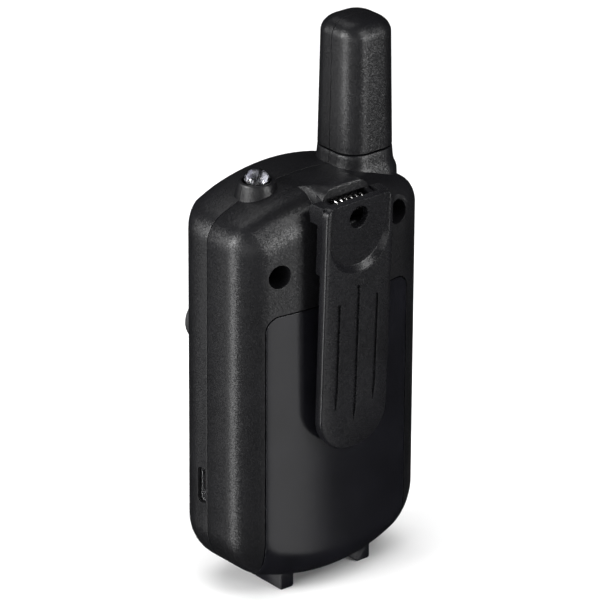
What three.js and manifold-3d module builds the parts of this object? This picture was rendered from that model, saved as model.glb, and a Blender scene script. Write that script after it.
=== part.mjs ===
// Compact hand-held two-way radio with a stub antenna, torch, belt clip and AAA battery bay.
// Millimetres, +Z up. The front (display and keys) faces -Y, the rear (clip and door) faces +Y.
// While modelling, x = 0 is the centre line, y = 0 the parting plane, z = 0 the floor.

import * as THREE from 'three';
import { mergeVertices } from 'three/addons/utils/BufferGeometryUtils.js';
import Module from 'manifold-3d';

const wasm = await Module();
wasm.setup();

// ---- Driving dimensions ---------------------------------------------------------------

const GAP = 0.3; // clearance between neighbouring pieces

const HALF_WIDTH = 24;
const BODY_TOP = 87.2;
const BODY_BOTTOM = 1.7;
const TOP_CROWN = 50; // radius of the arched top edge
const BOTTOM_CROWN = 48;
const TOP_CORNER = 6.5;
const BOTTOM_CORNER = 11;
const FRONT_FACE = -10.2;
const REAR_FACE = 13.4;
const REAR_CROWN = 100; // radius of the crowned back, seen from above
const FRONT_FILLET = 6.6;
const TOP_LIFT = 0.85; // how much tighter the front fillet is along the top edge
const REAR_FILLET = 7;
const WALL = 1.8;
const DOOR_WALL = 1.6;

const ANTENNA_X = -14.1;
const ANTENNA_BASE = 89.6;
const ANTENNA_TOP = 117;
const ANTENNA_HALF = 6.65;
const TORCH_X = 11.3;

const DOOR_HALF = 18.2;
const DOOR_TOP = 63.4;
const DOOR_CORNER = 2.8;
const TONGUE_FRONT = 10.95; // the door's tongue clears the cells when the door slides
const TONGUE_REAR = 11.7;

const CELL_RADIUS = 5.2;
const CELL_LENGTH = 44.5;
const CELL_PITCH = 10.8;
const CELL_Y = 5.6;
const BAY_FLOOR = 9.2;
const BAY_CEILING = 61.3;
const BAY_HALF = 17.6;

const CLIP_HALF = 8.6;
const CLIP_BOTTOM = 32.2;
const CLIP_TOP = 86.6;
const CLIP_INNER = 16.6;
const CLIP_OUTER = 18.7;
const CLIP_LEAN = 2; // degrees the blade leans towards the body at rest
const PIN_Y = 14.5;
const PIN_Z = 84.4;
const PIN_RADIUS = 0.9;
const PIN_HALF = 7.5; // the pin's ends are hidden in blind holes in the clip

const SKID_INNER = 8.4;
const SKID_OUTER = 11.9;

const PCB_FRONT = -4.2;
const PCB_REAR = -3.2;
const USB_FRONT = -3.1;
const USB_REAR = -0.6;
const TALK_Z = 65.5;
const KEY_SIDE_X = 15.9;
const KEY_ROW_Z = 55.6;
const KEY_UP_Z = 59.6;
const KEY_DOWN_Z = 51.6;
const SPEAKER_Z = 27;
const SPEAKER_RADIUS = 13.5;

// x, z and head depth of the four case screws: two at the top, two on the bay floor
const UPPER_SCREWS = [[15.3, 72.1], [-15.3, 77.9]];
const LOWER_SCREWS = [[5.4, 11.2], [-5.4, 11.2]];

// ---- Materials ------------------------------------------------------------------------

const plastic = (color, roughness) => new THREE.MeshStandardMaterial({ color, roughness, metalness: 0 });
const metal = (color, roughness) => new THREE.MeshStandardMaterial({ color, roughness, metalness: 1 });

const shellPlastic = plastic(0x17171a, 0.55);
const doorPlastic = plastic(0x18181c, 0.42);
const clipPlastic = plastic(0x19191c, 0.45);
const keyRubber = plastic(0x26262a, 0.7);
const clearPlastic = plastic(0xdfe6ee, 0.1);
const displayGlass = plastic(0x6f7f6a, 0.3);
const boardGreen = plastic(0x1d5a37, 0.45);
const blackMoulding = plastic(0x101012, 0.5);
const cellLabel = metal(0x8a8f98, 0.4);
const steel = metal(0xb9bcc2, 0.3);
const copper = metal(0xb87846, 0.35);

// ---- Solids, cuts and joins -----------------------------------------------------------

// Turn a closed three.js geometry into a solid, facing outwards.
function solid(geometry) {
  let flat = geometry.clone();
  flat.deleteAttribute('normal');
  flat.deleteAttribute('uv');
  flat = mergeVertices(flat, 1e-4);
  const positions = new Float32Array(flat.attributes.position.array);
  const triangles = Array.from(flat.index.array);
  const kept = [];
  let volume = 0;
  const a = new THREE.Vector3();
  const b = new THREE.Vector3();
  const c = new THREE.Vector3();
  for (let i = 0; i < triangles.length; i += 3) {
    const [p, q, r] = triangles.slice(i, i + 3);
    if (p === q || q === r || r === p) continue;
    kept.push(p, q, r);
    a.fromArray(positions, 3 * p);
    b.fromArray(positions, 3 * q);
    c.fromArray(positions, 3 * r);
    volume += a.dot(b.cross(c));
  }
  if (volume < 0) {
    for (let i = 0; i < kept.length; i += 3) [kept[i], kept[i + 1]] = [kept[i + 1], kept[i]];
  }
  const mesh = new wasm.Mesh({ numProp: 3, vertProperties: positions, triVerts: new Uint32Array(kept) });
  return new wasm.Manifold(mesh);
}

const join = (first, ...others) => others.reduce((sum, other) => sum.add(other), first);
const cut = (first, ...others) => others.reduce((rest, other) => rest.subtract(other), first);
const common = (first, ...others) => others.reduce((rest, other) => rest.intersect(other), first);

function geometryOf(shape) {
  const { vertProperties, triVerts } = shape.getMesh();
  const geometry = new THREE.BufferGeometry();
  geometry.setAttribute('position', new THREE.BufferAttribute(new Float32Array(vertProperties), 3));
  geometry.setIndex(new THREE.BufferAttribute(new Uint32Array(triVerts), 1));
  return geometry;
}

const moved = (shape, matrix) => solid(geometryOf(shape).applyMatrix4(matrix));
const mirrorX = (shape) => moved(shape, new THREE.Matrix4().makeScale(-1, 1, 1));
const shifted = (shape, x, y, z) => moved(shape, new THREE.Matrix4().makeTranslation(x, y, z));

function block(x0, x1, y0, y1, z0, z1) {
  const box = new THREE.BoxGeometry(x1 - x0, y1 - y0, z1 - z0);
  box.translate((x0 + x1) / 2, (y0 + y1) / 2, (z0 + z1) / 2);
  return solid(box);
}

// Rods along each axis, given their centre line and ends.
function rodX(radius, y, z, x0, x1, segments = 20) {
  const rod = new THREE.CylinderGeometry(radius, radius, x1 - x0, segments);
  rod.rotateZ(Math.PI / 2);
  rod.translate((x0 + x1) / 2, y, z);
  return solid(rod);
}

function rodY(radius, x, z, y0, y1, segments = 24) {
  const rod = new THREE.CylinderGeometry(radius, radius, y1 - y0, segments);
  rod.translate(x, (y0 + y1) / 2, z);
  return solid(rod);
}

// Turned piece about a vertical line; profile is a list of [radius, z].
function turnedZ(profile, x, y, segments = 24) {
  const points = profile.map(([radius, z]) => new THREE.Vector2(radius, z));
  const lathe = new THREE.LatheGeometry(points, segments);
  lathe.rotateX(Math.PI / 2);
  lathe.translate(x, y, 0);
  return solid(lathe);
}

// Turned piece about a front-to-back line; profile is a list of [radius, y].
function turnedY(profile, x, z, segments = 24) {
  const points = profile.map(([radius, y]) => new THREE.Vector2(radius, y));
  const lathe = new THREE.LatheGeometry(points, segments);
  lathe.translate(x, 0, z);
  return solid(lathe);
}

// Outline with rounded corners; radius may be one number or one per corner
// in the order lower left, lower right, upper right, upper left.
function roundedRect(x0, x1, z0, z1, radius) {
  const [a, b, c, d] = Array.isArray(radius) ? radius : [radius, radius, radius, radius];
  const shape = new THREE.Shape();
  shape.moveTo(x0 + a, z0);
  shape.lineTo(x1 - b, z0);
  shape.absarc(x1 - b, z0 + b, b, -Math.PI / 2, 0);
  shape.lineTo(x1, z1 - c);
  shape.absarc(x1 - c, z1 - c, c, 0, Math.PI / 2);
  shape.lineTo(x0 + d, z1);
  shape.absarc(x0 + d, z1 - d, d, Math.PI / 2, Math.PI);
  shape.lineTo(x0, z0 + a);
  shape.absarc(x0 + a, z0 + a, a, Math.PI, 1.5 * Math.PI);
  return shape;
}

// Plate: an (x, z) outline given thickness from y0 to y1, with optional chamfered edges.
function plateY(shape, y0, y1, chamfer = 0, curveSegments = 2) {
  const extrusion = new THREE.ExtrudeGeometry(shape, {
    depth: y1 - y0 - 2 * chamfer,
    bevelEnabled: chamfer > 0,
    bevelThickness: chamfer,
    bevelSize: chamfer,
    bevelOffset: -chamfer,
    bevelSegments: 1,
    curveSegments,
  });
  extrusion.rotateX(Math.PI / 2);
  extrusion.translate(0, y1 - chamfer, 0);
  return solid(extrusion);
}

// Bar: a (y, z) outline given length from x0 to x1.
function barX(shape, x0, x1, curveSegments = 2) {
  const extrusion = new THREE.ExtrudeGeometry(shape, { depth: x1 - x0, bevelEnabled: false, curveSegments });
  extrusion.rotateX(Math.PI / 2);
  extrusion.rotateZ(Math.PI / 2);
  extrusion.translate(x0, 0, 0);
  return solid(extrusion);
}

// Skin over a stack of closed rings that all have the same number of points.
function loft(rings, toPlane) {
  const count = rings[0].length;
  const positions = rings.flat().flatMap((point) => [point.x, point.y, point.z]);
  const index = [];
  for (let ring = 0; ring + 1 < rings.length; ring += 1) {
    for (let i = 0; i < count; i += 1) {
      const a = ring * count + i;
      const b = ring * count + ((i + 1) % count);
      index.push(a, b, b + count, a, b + count, a + count);
    }
  }
  const capTriangles = (ring) => THREE.ShapeUtils.triangulateShape(ring.map(toPlane), []);
  const last = (rings.length - 1) * count;
  for (const [a, b, c] of capTriangles(rings[0])) index.push(a, c, b);
  for (const [a, b, c] of capTriangles(rings[rings.length - 1])) index.push(last + a, last + b, last + c);
  const skin = new THREE.BufferGeometry();
  skin.setAttribute('position', new THREE.Float32BufferAttribute(positions, 3));
  skin.setIndex(index);
  return solid(skin);
}

// Wire of round section along a smooth path.
function wire(points, radius, steps) {
  const section = new THREE.Shape();
  section.absarc(0, 0, radius, 0, 2 * Math.PI);
  const extrudePath = new THREE.CatmullRomCurve3(points);
  return solid(new THREE.ExtrudeGeometry(section, { extrudePath, steps, curveSegments: 3 }));
}

// Points of a coil about +Z whose radius runs from r0 at z0 to r1 at z1.
function coilPoints(r0, r1, z0, z1, turns) {
  const count = Math.round(turns * 8);
  return Array.from({ length: count + 1 }, (_, i) => {
    const t = i / count;
    const angle = 2 * Math.PI * turns * t;
    const radius = r0 + (r1 - r0) * t;
    return new THREE.Vector3(radius * Math.cos(angle), radius * Math.sin(angle), z0 + (z1 - z0) * t);
  });
}

// ---- Body outline ---------------------------------------------------------------------

// Closed (x, z) outline of the case, moved inwards by inset; always the same point count.
function bodyOutline(inset) {
  const cornerSteps = 5;
  const crownSteps = 3;
  const quarter = (corner, crown, crownCentre, sign) => {
    const radius = Math.max(corner - inset, 0.2);
    const x = HALF_WIDTH - inset - radius;
    const rise = Math.sqrt((crown - inset - radius) ** 2 - x ** 2);
    const end = Math.atan2(rise, x);
    const points = [];
    for (let i = 0; i <= cornerSteps; i += 1) {
      const angle = (end * i) / cornerSteps;
      const z = crownCentre + sign * (rise + radius * Math.sin(angle));
      points.push(new THREE.Vector2(x + radius * Math.cos(angle), z));
    }
    for (let i = 1; i < crownSteps; i += 1) {
      const angle = end + ((Math.PI / 2 - end) * i) / crownSteps;
      const reach = crown - inset;
      points.push(new THREE.Vector2(reach * Math.cos(angle), crownCentre + sign * reach * Math.sin(angle)));
    }
    return points;
  };
  const mirrored = (points) => points.map((point) => new THREE.Vector2(-point.x, point.y)).reverse();
  const top = quarter(TOP_CORNER, TOP_CROWN, BODY_TOP - TOP_CROWN, 1);
  const bottom = quarter(BOTTOM_CORNER, BOTTOM_CROWN, BODY_BOTTOM + BOTTOM_CROWN, -1);
  const apex = new THREE.Vector2(0, BODY_TOP - inset);
  const base = new THREE.Vector2(0, BODY_BOTTOM + inset);
  return [...top, apex, ...mirrored(top), ...mirrored(bottom).reverse(), base, ...[...bottom].reverse()];
}

const onFrontView = (point) => new THREE.Vector2(point.x, point.z);
const fromAbove = (point) => new THREE.Vector2(point.x, point.y);

// The back is crowned: it falls away from the centre line, fully at the rear face.
const crownDrop = (x, y) => (x ** 2 / (2 * REAR_CROWN)) * (Math.max(y, 0) / REAR_FACE) ** 2;

function ringAt(inset, y, lift = 0) {
  return bodyOutline(inset).map(({ x, y: z }) => {
    const upper = Math.min(Math.max((z - 60) / 20, 0), 1);
    return new THREE.Vector3(x, y - crownDrop(x, y), z + lift * upper);
  });
}

// Front half of the case filled solid, shrunk on every side by shrink.
function frontHalf(shrink, openEnd) {
  const fillet = FRONT_FILLET - shrink;
  const rings = [];
  for (let i = 0; i <= 4; i += 1) {
    const angle = (Math.PI / 2) * (i / 4);
    const inset = shrink + fillet * (1 - Math.sin(angle));
    const y = FRONT_FACE + shrink + fillet * (1 - Math.cos(angle));
    rings.push(ringAt(inset, y, TOP_LIFT * (inset - shrink)));
  }
  rings.push(ringAt(shrink, openEnd));
  return loft(rings, onFrontView);
}

// Rear half of the case filled solid, shrunk on every side by shrink.
function rearHalf(shrink, openEnd) {
  const fillet = REAR_FILLET - shrink;
  const rings = [ringAt(shrink, openEnd)];
  for (let i = 0; i <= 5; i += 1) {
    const angle = (Math.PI / 2) * (i / 5);
    const inset = shrink + fillet * (1 - Math.cos(angle));
    rings.push(ringAt(inset, REAR_FACE - shrink - fillet * (1 - Math.sin(angle))));
  }
  for (const inset of [11, 16]) rings.push(ringAt(inset, REAR_FACE - shrink));
  return loft(rings, onFrontView);
}

// Straight-sided plug of the case outline.
function outlinePlug(inset, y0, y1) {
  const flat = (y) => bodyOutline(inset).map((point) => new THREE.Vector3(point.x, y, point.y));
  return loft([flat(y0), flat(y1)], onFrontView);
}

// Stack of rounded squares centred on (x, 0); levels is a list of [z, half width, corner radius].
function squareTower(x, levels) {
  const rings = levels.map(([z, half, corner]) => {
    const ring = [];
    for (let side = 0; side < 4; side += 1) {
      const turn = (side * Math.PI) / 2;
      const middle = turn + Math.PI / 4;
      const cx = x + (half - corner) * Math.SQRT2 * Math.cos(middle);
      const cy = (half - corner) * Math.SQRT2 * Math.sin(middle);
      for (let i = 0; i <= 4; i += 1) {
        const angle = turn + (Math.PI / 2) * (i / 4);
        ring.push(new THREE.Vector3(cx + corner * Math.cos(angle), cy + corner * Math.sin(angle), z));
      }
    }
    return ring;
  });
  return loft(rings, fromAbove);
}

// ---- Group and mesh placement ---------------------------------------------------------

const radio = new THREE.Group();
radio.name = 'portable_radio';

function add(name, shape, material) {
  const geometry = geometryOf(shape);
  geometry.computeVertexNormals();
  const mesh = new THREE.Mesh(geometry, material);
  mesh.name = name;
  radio.add(mesh);
  return mesh;
}

const inFront = block(-60, 60, -60, -GAP / 2, -10, 140);
const behind = block(-60, 60, GAP / 2, 60, -10, 140);

// ---- Case shells ----------------------------------------------------------------------

// Collars that both shells share: the flared antenna seat and the torch cone.
const collars = join(
  squareTower(ANTENNA_X, [[82.2, 7.6, 5.2], [84.6, 7.5, 5.1], [86.4, 6.95, 4.8], [89.3, ANTENNA_HALF, 4.5]]),
  turnedZ([[0, 82.2], [4.7, 82.2], [4.5, 84.8], [3.8, 87.6], [3.6, 87.9], [0, 87.9]], TORCH_X, 0),
);
const collarBores = join(
  squareTower(ANTENNA_X, [[82, 5.6, 3.8], [87.6, 5.2, 3.5]]),
  squareTower(ANTENNA_X, [[82, 4.9, 3], [90, 4.9, 3]]),
  turnedZ([[0, 82], [2.9, 82], [2.9, 89], [0, 89]], TORCH_X, 0),
);

// The talk button sits in an opening shared by both shells on the -X side.
const talkOpening = block(-26, -21, -3.3, 3.3, TALK_Z - 9.3, TALK_Z + 9.3);

const usbOpening = barX(roundedRect(USB_FRONT, USB_REAR, 19.8, 27.7, [0.9, 0.3, 0.3, 0.9]), 21, 26);

function skid(y0, y1, top) {
  const outline = roundedRect(SKID_INNER, SKID_OUTER, 0, top, [0.5, 0.5, 0.1, 0.1]);
  return plateY(outline, y0, y1, 0, 1);
}

function frontShell() {
  const outer = join(frontHalf(0, -GAP / 2), common(collars, inFront));
  const hollow = frontHalf(WALL, 1);
  let shell = cut(outer, hollow, collarBores);
  const bosses = [...UPPER_SCREWS, ...LOWER_SCREWS].map(([x, z]) => rodY(2.6, x, z, -8.9, -GAP - 1.2, 16));
  const skids = [skid(-7.4, -GAP / 2, 5), mirrorX(skid(-7.4, -GAP / 2, 5))];
  // Lip that locates the rear shell, running inside the parting line.
  const lip = cut(
    outlinePlug(WALL + GAP, -3, 1.4),
    outlinePlug(WALL + 1.2, -4, 2),
    block(-30, 30, -4, 2, -10, 16),
    block(-30, 30, -4, 2, 78, 100),
    block(-30, 0, -4, 2, 54, 80),
    block(0, 30, -4, 2, 17, 30),
  );
  const lipFoot = cut(
    outlinePlug(WALL - GAP, -3, -1.2),
    outlinePlug(WALL + 1.2, -4, 2),
    block(-30, 30, -4, 2, -10, 16),
    block(-30, 30, -4, 2, 78, 100),
    block(-30, 0, -4, 2, 54, 80),
    block(0, 30, -4, 2, 17, 30),
  );
  shell = join(shell, ...bosses, ...skids, lip, lipFoot);
  const pilots = [...UPPER_SCREWS, ...LOWER_SCREWS].map(([x, z]) => rodY(1.2, x, z, -7.4, 0, 12));
  const windowSeat = plateY(roundedRect(-13, 13, 64.5, 79.5, 2), -11, -8.8);
  const windowHole = plateY(roundedRect(-11, 11, 66, 78, 1.2), -11, -7, 0, 1);
  const roundKeys = [-KEY_SIDE_X, KEY_SIDE_X].map((x) => rodY(5.3, x, KEY_ROW_Z, -12, -6));
  const barKeys = [KEY_UP_Z, KEY_DOWN_Z].map((z) => plateY(keyBar(z, GAP), -12, -6));
  const grille = [[-2, 5.5], [-1, 8.5], [0, 9.5], [1, 8.5], [2, 5.5]].map(([row, half]) => {
    const z = SPEAKER_Z + 4 * row;
    return plateY(roundedRect(-half, half, z - 0.8, z + 0.8, 0.75), -12, -7, 0, 1);
  });
  const micHole = rodY(0.7, 9.5, 44.5, -12, -7, 8);
  return cut(shell, ...pilots, windowSeat, windowHole, ...roundKeys, ...barKeys, ...grille, micHole,
    talkOpening, usbOpening);
}

// Outline of the battery door seen from behind, grown by extra on every side.
function doorOutline(extra) {
  const half = DOOR_HALF + extra;
  const top = DOOR_CORNER + extra;
  return roundedRect(-half, half, -2, DOOR_TOP + extra, [0.1, 0.1, top, top]);
}

function rearShell() {
  const outer = join(rearHalf(0, GAP / 2), common(collars, behind), clipLug());
  const hollow = rearHalf(WALL, -1);
  let shell = cut(outer, hollow, collarBores);
  // Battery bay: floor, two ribs and two end walls, moulded with the shell.
  const ribs = [
    block(BAY_HALF, BAY_HALF + 1.8, -1, 10.4, 8, BAY_CEILING + 3),
    block(-BAY_HALF - 1.8, -BAY_HALF, -1, 10.4, 8, BAY_CEILING + 3),
  ];
  const bay = join(
    block(-BAY_HALF - 1.8, BAY_HALF + 1.8, -1, 0.05, 8, BAY_CEILING + 3),
    ...ribs,
    block(-BAY_HALF - 1, BAY_HALF + 1, -1, TONGUE_FRONT - 0.35, BAY_FLOOR - 1.2, BAY_FLOOR),
    block(-BAY_HALF - 1, BAY_HALF + 1, -1, 12.6, BAY_CEILING, BAY_CEILING + 3),
  );
  const upperBosses = UPPER_SCREWS.map(([x, z]) => rodY(3.4, x, z, 0.3, 11.3, 20));
  shell = join(shell, common(bay, outlinePlug(WALL + 1.6, -2, 14), rearHalf(0.6, -2)), ...upperBosses);
  const doorRecess = cut(
    plateY(doorOutline(GAP), -0.5, 20),
    rearHalf(DOOR_WALL + GAP, -3),
    block(-30, 30, -5, GAP, BAY_FLOOR - 1.2, 100),
  );
  const tongueSlot = join(
    block(-8.8, 8.8, TONGUE_FRONT - 0.4, 12.3, 59, DOOR_TOP + GAP),
    block(-8.8, 8.8, TONGUE_FRONT - 0.4, TONGUE_REAR + GAP, 62, DOOR_TOP + 2.8),
  );
  const heads = UPPER_SCREWS.map(([x, z]) => rodY(2.5, x, z, 6, 20, 24));
  const shanks = [...UPPER_SCREWS, ...LOWER_SCREWS].map(([x, z]) => rodY(1.3, x, z, -2, 8, 12));
  const usbNotch = block(18.7, 23, -1.5, 0.02, 18.6, 28.9);
  return cut(shell, doorRecess, tongueSlot, ...heads, ...shanks, usbNotch, talkOpening, usbOpening);
}

// Raised lug at the top of the back: a rounded hood and two ears that carry the clip's pin.
function clipLug() {
  const arch = new THREE.Shape();
  arch.moveTo(-6, 74);
  arch.lineTo(6, 74);
  arch.lineTo(6, 85.9);
  arch.quadraticCurveTo(5.6, 88.1, 3.6, 88.6);
  arch.quadraticCurveTo(0, 89.2, -3.6, 88.6);
  arch.quadraticCurveTo(-5.6, 88.1, -6, 85.9);
  arch.closePath();
  const slope = new THREE.Shape();
  slope.moveTo(5, 73);
  slope.lineTo(13.9, 73);
  slope.lineTo(13.9, 88.2);
  slope.lineTo(13.2, 88.9);
  slope.lineTo(11.5, 88.9);
  slope.lineTo(5, 86.6);
  slope.closePath();
  const hood = common(plateY(arch, 5, 14.5), barX(slope, -7, 7));
  const earOutline = new THREE.Shape();
  earOutline.moveTo(12, 81.6);
  earOutline.lineTo(PIN_Y, PIN_Z - 1.7);
  earOutline.absarc(PIN_Y, PIN_Z, 1.7, -Math.PI / 2, Math.PI / 2);
  earOutline.lineTo(12, 87);
  earOutline.closePath();
  const ear = barX(earOutline, 4.9, 6, 3);
  const pocket = block(-4.9, 4.9, 12.4, 17, 78.5, 86.6);
  const bore = rodX(PIN_RADIUS + 0.25, PIN_Y, PIN_Z, -9, 9, 16);
  return cut(join(hood, ear, mirrorX(ear)), pocket, bore);
}

// ---- Battery door ---------------------------------------------------------------------

function batteryDoor() {
  const wall = cut(rearHalf(0, GAP / 2), rearHalf(DOOR_WALL, -1));
  const panel = common(wall, plateY(doorOutline(0), -1, 20));
  const root = common(block(-8, 8, TONGUE_FRONT, 12.6, 59.6, DOOR_TOP - 0.3), rearHalf(0.8, 0));
  const tongue = join(block(-8.2, 8.2, TONGUE_FRONT, TONGUE_REAR, 60.6, DOOR_TOP + 2.4), root);
  const skids = [skid(GAP, 8.6, 3.6), mirrorX(skid(GAP, 8.6, 3.6))];
  return join(panel, tongue, ...skids);
}

// ---- Antenna --------------------------------------------------------------------------

function antennaCover(side) {
  const half = ANTENNA_HALF;
  const levels = [[ANTENNA_BASE, half, 4.5], [ANTENNA_TOP - 3.6, half - 0.35, 4.4]];
  for (let i = 1; i <= 4; i += 1) {
    const angle = (Math.PI / 2) * (i / 4.4);
    const inset = 3.6 * (1 - Math.cos(angle));
    const z = ANTENNA_TOP - 3.6 + 3.45 * Math.sin(angle);
    levels.push([z, half - 0.35 - inset, Math.max(4.4 - inset * 0.7, 1.6)]);
  }
  levels.push([ANTENNA_TOP, 1.4, 1.2]);
  const outside = squareTower(ANTENNA_X, levels);
  const inside = squareTower(ANTENNA_X, [[91, 5.1, 3.3], [ANTENNA_TOP - 3.6, 4.7, 3.2], [ANTENNA_TOP - 1.5, 3.6, 2.4]]);
  const neck = squareTower(ANTENNA_X, [[87, 4.6, 2.7], [90.2, 4.6, 2.7]]);
  const flange = squareTower(ANTENNA_X, [[86.1, 4.9, 3], [87.3, 4.9, 3]]);
  const passage = squareTower(ANTENNA_X, [[85, 3.4, 2], [92, 3.4, 2]]);
  return common(cut(join(outside, neck, flange), inside, passage), side);
}

const antennaCoil = () =>
  shifted(wire(coilPoints(2.9, 2.9, 92, 112, 7), 0.38, 56), ANTENNA_X, 0, 0);

const antennaCore = () =>
  turnedZ([[0, 82], [2.1, 82], [2.1, 84.4], [3.2, 84.4], [3.2, 85.6], [2.1, 85.6], [2.1, 113], [0, 113]],
    ANTENNA_X, 0, 16);

// ---- Torch ----------------------------------------------------------------------------

function torchLed() {
  const dome = [1, 2, 3, 4].map((i) => {
    const angle = (Math.PI / 2) * (i / 5);
    return [2.5 * Math.cos(angle), 87.7 + 2.5 * Math.sin(angle)];
  });
  const bulb = turnedZ([[0, 80.6], [2.7, 80.6], [2.7, 81.6], [2.5, 81.6], [2.5, 87.7], ...dome, [0, 90.2]],
    TORCH_X, 0, 20);
  const legs = [-1.27, 1.27].map((x) => block(TORCH_X + x - 0.3, TORCH_X + x + 0.3, -0.3, 0.3, 74, 81));
  return join(bulb, ...legs);
}

// ---- Belt clip ------------------------------------------------------------------------

// Groove with a round top and a tapering lower end, cut to depth in the clip's face.
function grip(x, z0, z1) {
  const groove = new THREE.Shape();
  groove.moveTo(x, z0);
  groove.lineTo(x + 0.5, z0 + 3.5);
  groove.lineTo(x + 0.5, z1 - 0.5);
  groove.absarc(x, z1 - 0.5, 0.5, 0, Math.PI);
  groove.lineTo(x - 0.5, z0 + 3.5);
  groove.closePath();
  return plateY(groove, CLIP_OUTER - 0.5, CLIP_OUTER + 1, 0, 2);
}

function beltClip() {
  const face = roundedRect(-CLIP_HALF, CLIP_HALF, CLIP_BOTTOM, CLIP_TOP, [8, 8, 1.8, 1.8]);
  const blade = plateY(face, CLIP_INNER, CLIP_OUTER, 0.35, 4);
  const bulge = plateY(roundedRect(-7.8, 7.8, 71, 82.9, 0.8), 14.6, CLIP_INNER + 0.5, 0, 1);
  const armOutline = new THREE.Shape();
  armOutline.moveTo(CLIP_INNER + 0.5, 82.6);
  armOutline.lineTo(13.5, 82.6);
  armOutline.lineTo(12.9, 85.3);
  armOutline.lineTo(13.6, CLIP_TOP);
  armOutline.lineTo(CLIP_INNER + 0.5, CLIP_TOP);
  armOutline.closePath();
  const arm = barX(armOutline, -CLIP_HALF, CLIP_HALF);
  const lugNotch = block(-6.3, 6.3, 10, CLIP_INNER - 0.05, 81, 90);
  const pinBore = rodX(PIN_RADIUS + 0.25, PIN_Y, PIN_Z, -PIN_HALF - GAP, PIN_HALF + GAP, 20);
  // Thumb recess: a ramp that deepens downwards and ends in a round lower wall.
  const ramp = new THREE.Shape();
  ramp.moveTo(CLIP_OUTER + 2, 70);
  ramp.lineTo(CLIP_OUTER + 2, 90);
  ramp.lineTo(CLIP_OUTER - 0.15, 90);
  ramp.lineTo(CLIP_OUTER - 1.3, 70);
  ramp.closePath();
  const thumbOutline = roundedRect(-7.6, 7.6, 71.2, 92, [7.5, 7.5, 0.5, 0.5]);
  const recess = common(barX(ramp, -10, 10), plateY(thumbOutline, 10, 30, 0, 4));
  const drilled = rodY(2.4, 0, 83, CLIP_INNER - 1, CLIP_OUTER + 2, 24);
  const grooves = [grip(0, 38, 68.4), grip(-4.9, 41.3, 65.3), grip(4.9, 41.3, 65.3)];
  const upright = cut(join(blade, bulge, arm), lugNotch, recess, drilled, ...grooves);
  const lean = new THREE.Matrix4().makeTranslation(0, PIN_Y, PIN_Z)
    .multiply(new THREE.Matrix4().makeRotationX(THREE.MathUtils.degToRad(-CLIP_LEAN)))
    .multiply(new THREE.Matrix4().makeTranslation(0, -PIN_Y, -PIN_Z));
  return cut(moved(upright, lean), pinBore);
}

// Torsion spring on the pin; one leg bears on the lug, the other on the clip.
function clipSpring() {
  const coil = coilPoints(1.5, 1.5, -3.6, 3.6, 5.5).map((point) =>
    new THREE.Vector3(point.z, PIN_Y + point.x, PIN_Z + point.y));
  const first = coil[0];
  const last = coil[coil.length - 1];
  coil.unshift(new THREE.Vector3(first.x, first.y - 0.3, first.z - 1.8));
  coil.push(new THREE.Vector3(last.x, last.y + 0.9, last.z - 3.8));
  return wire(coil, 0.25, 50);
}

// ---- Keys, talk button and display ----------------------------------------------------

function keyBar(z, extra) {
  return roundedRect(-5.5 - extra, 5.5 + extra, z - 2.5 - extra, z + 2.5 + extra, 2 + extra);
}

const KEY_TOP = -11.6;
const FLANGE_FRONT = -7.7;
const FLANGE_BACK = -6.9;

function roundKey(x) {
  const cap = turnedY([[0, KEY_TOP], [3.8, KEY_TOP + 0.1], [4.6, KEY_TOP + 0.45], [5, KEY_TOP + 1.1],
    [5, FLANGE_BACK], [0, FLANGE_BACK]], x, KEY_ROW_Z, 24);
  const flange = rodY(6.2, x, KEY_ROW_Z, FLANGE_FRONT, FLANGE_BACK);
  const trimmed = common(flange, block(-19.4, 19.4, -9, -6, 40, 70));
  return join(cap, trimmed);
}

function barKey(z) {
  const cap = plateY(keyBar(z, 0), KEY_TOP, FLANGE_BACK, 0.3);
  const flange = plateY(keyBar(z, 0.8), FLANGE_FRONT, FLANGE_BACK);
  return join(cap, flange);
}

function talkButton() {
  const capOutline = roundedRect(-3, 3, TALK_Z - 9, TALK_Z + 9, 2.6);
  const cap = barX(capOutline, -25.2, -21.2, 3);
  const flange = barX(roundedRect(-4, 4, TALK_Z - 10.1, TALK_Z + 10.1, 1), -21.9, -21.2, 1);
  const ridges = [-3, 0, 3].map((step) => block(-25.5, -25, -1.8, 1.8, TALK_Z + step - 0.4, TALK_Z + step + 0.4));
  return join(cap, flange, ...ridges);
}

function keypadMat() {
  const sheet = plateY(roundedRect(-20.4, 20.4, 47.9, 62.9, 2), -6.3, -5.7);
  const bumps = keySpots().map(([, x, z]) => rodY(1.5, x, z, -6, -5.35, 12));
  return join(sheet, ...bumps);
}

function keySpots() {
  return [
    ['menu', -KEY_SIDE_X, KEY_ROW_Z],
    ['light', KEY_SIDE_X, KEY_ROW_Z],
    ['up', 0, KEY_UP_Z],
    ['down', 0, KEY_DOWN_Z],
  ];
}

function tactSwitch(x, z) {
  return join(block(x - 2.2, x + 2.2, -4.8, PCB_FRONT - 0.1, z - 2.2, z + 2.2), rodY(1, x, z, -5.05, -4.7, 12));
}

// ---- Electronics ----------------------------------------------------------------------

function mainBoard() {
  const board = common(outlinePlug(WALL + 1.6, PCB_FRONT, PCB_REAR), block(-30, 30, -5, 0, 0, 79.6));
  const bossHoles = [...UPPER_SCREWS, ...LOWER_SCREWS].map(([x, z]) => rodY(3, x, z, -6, 0, 16));
  const buttonNotch = block(-24, -19.7, -6, 0, 54.4, 80);
  return cut(board, ...bossHoles, buttonNotch);
}

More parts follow.
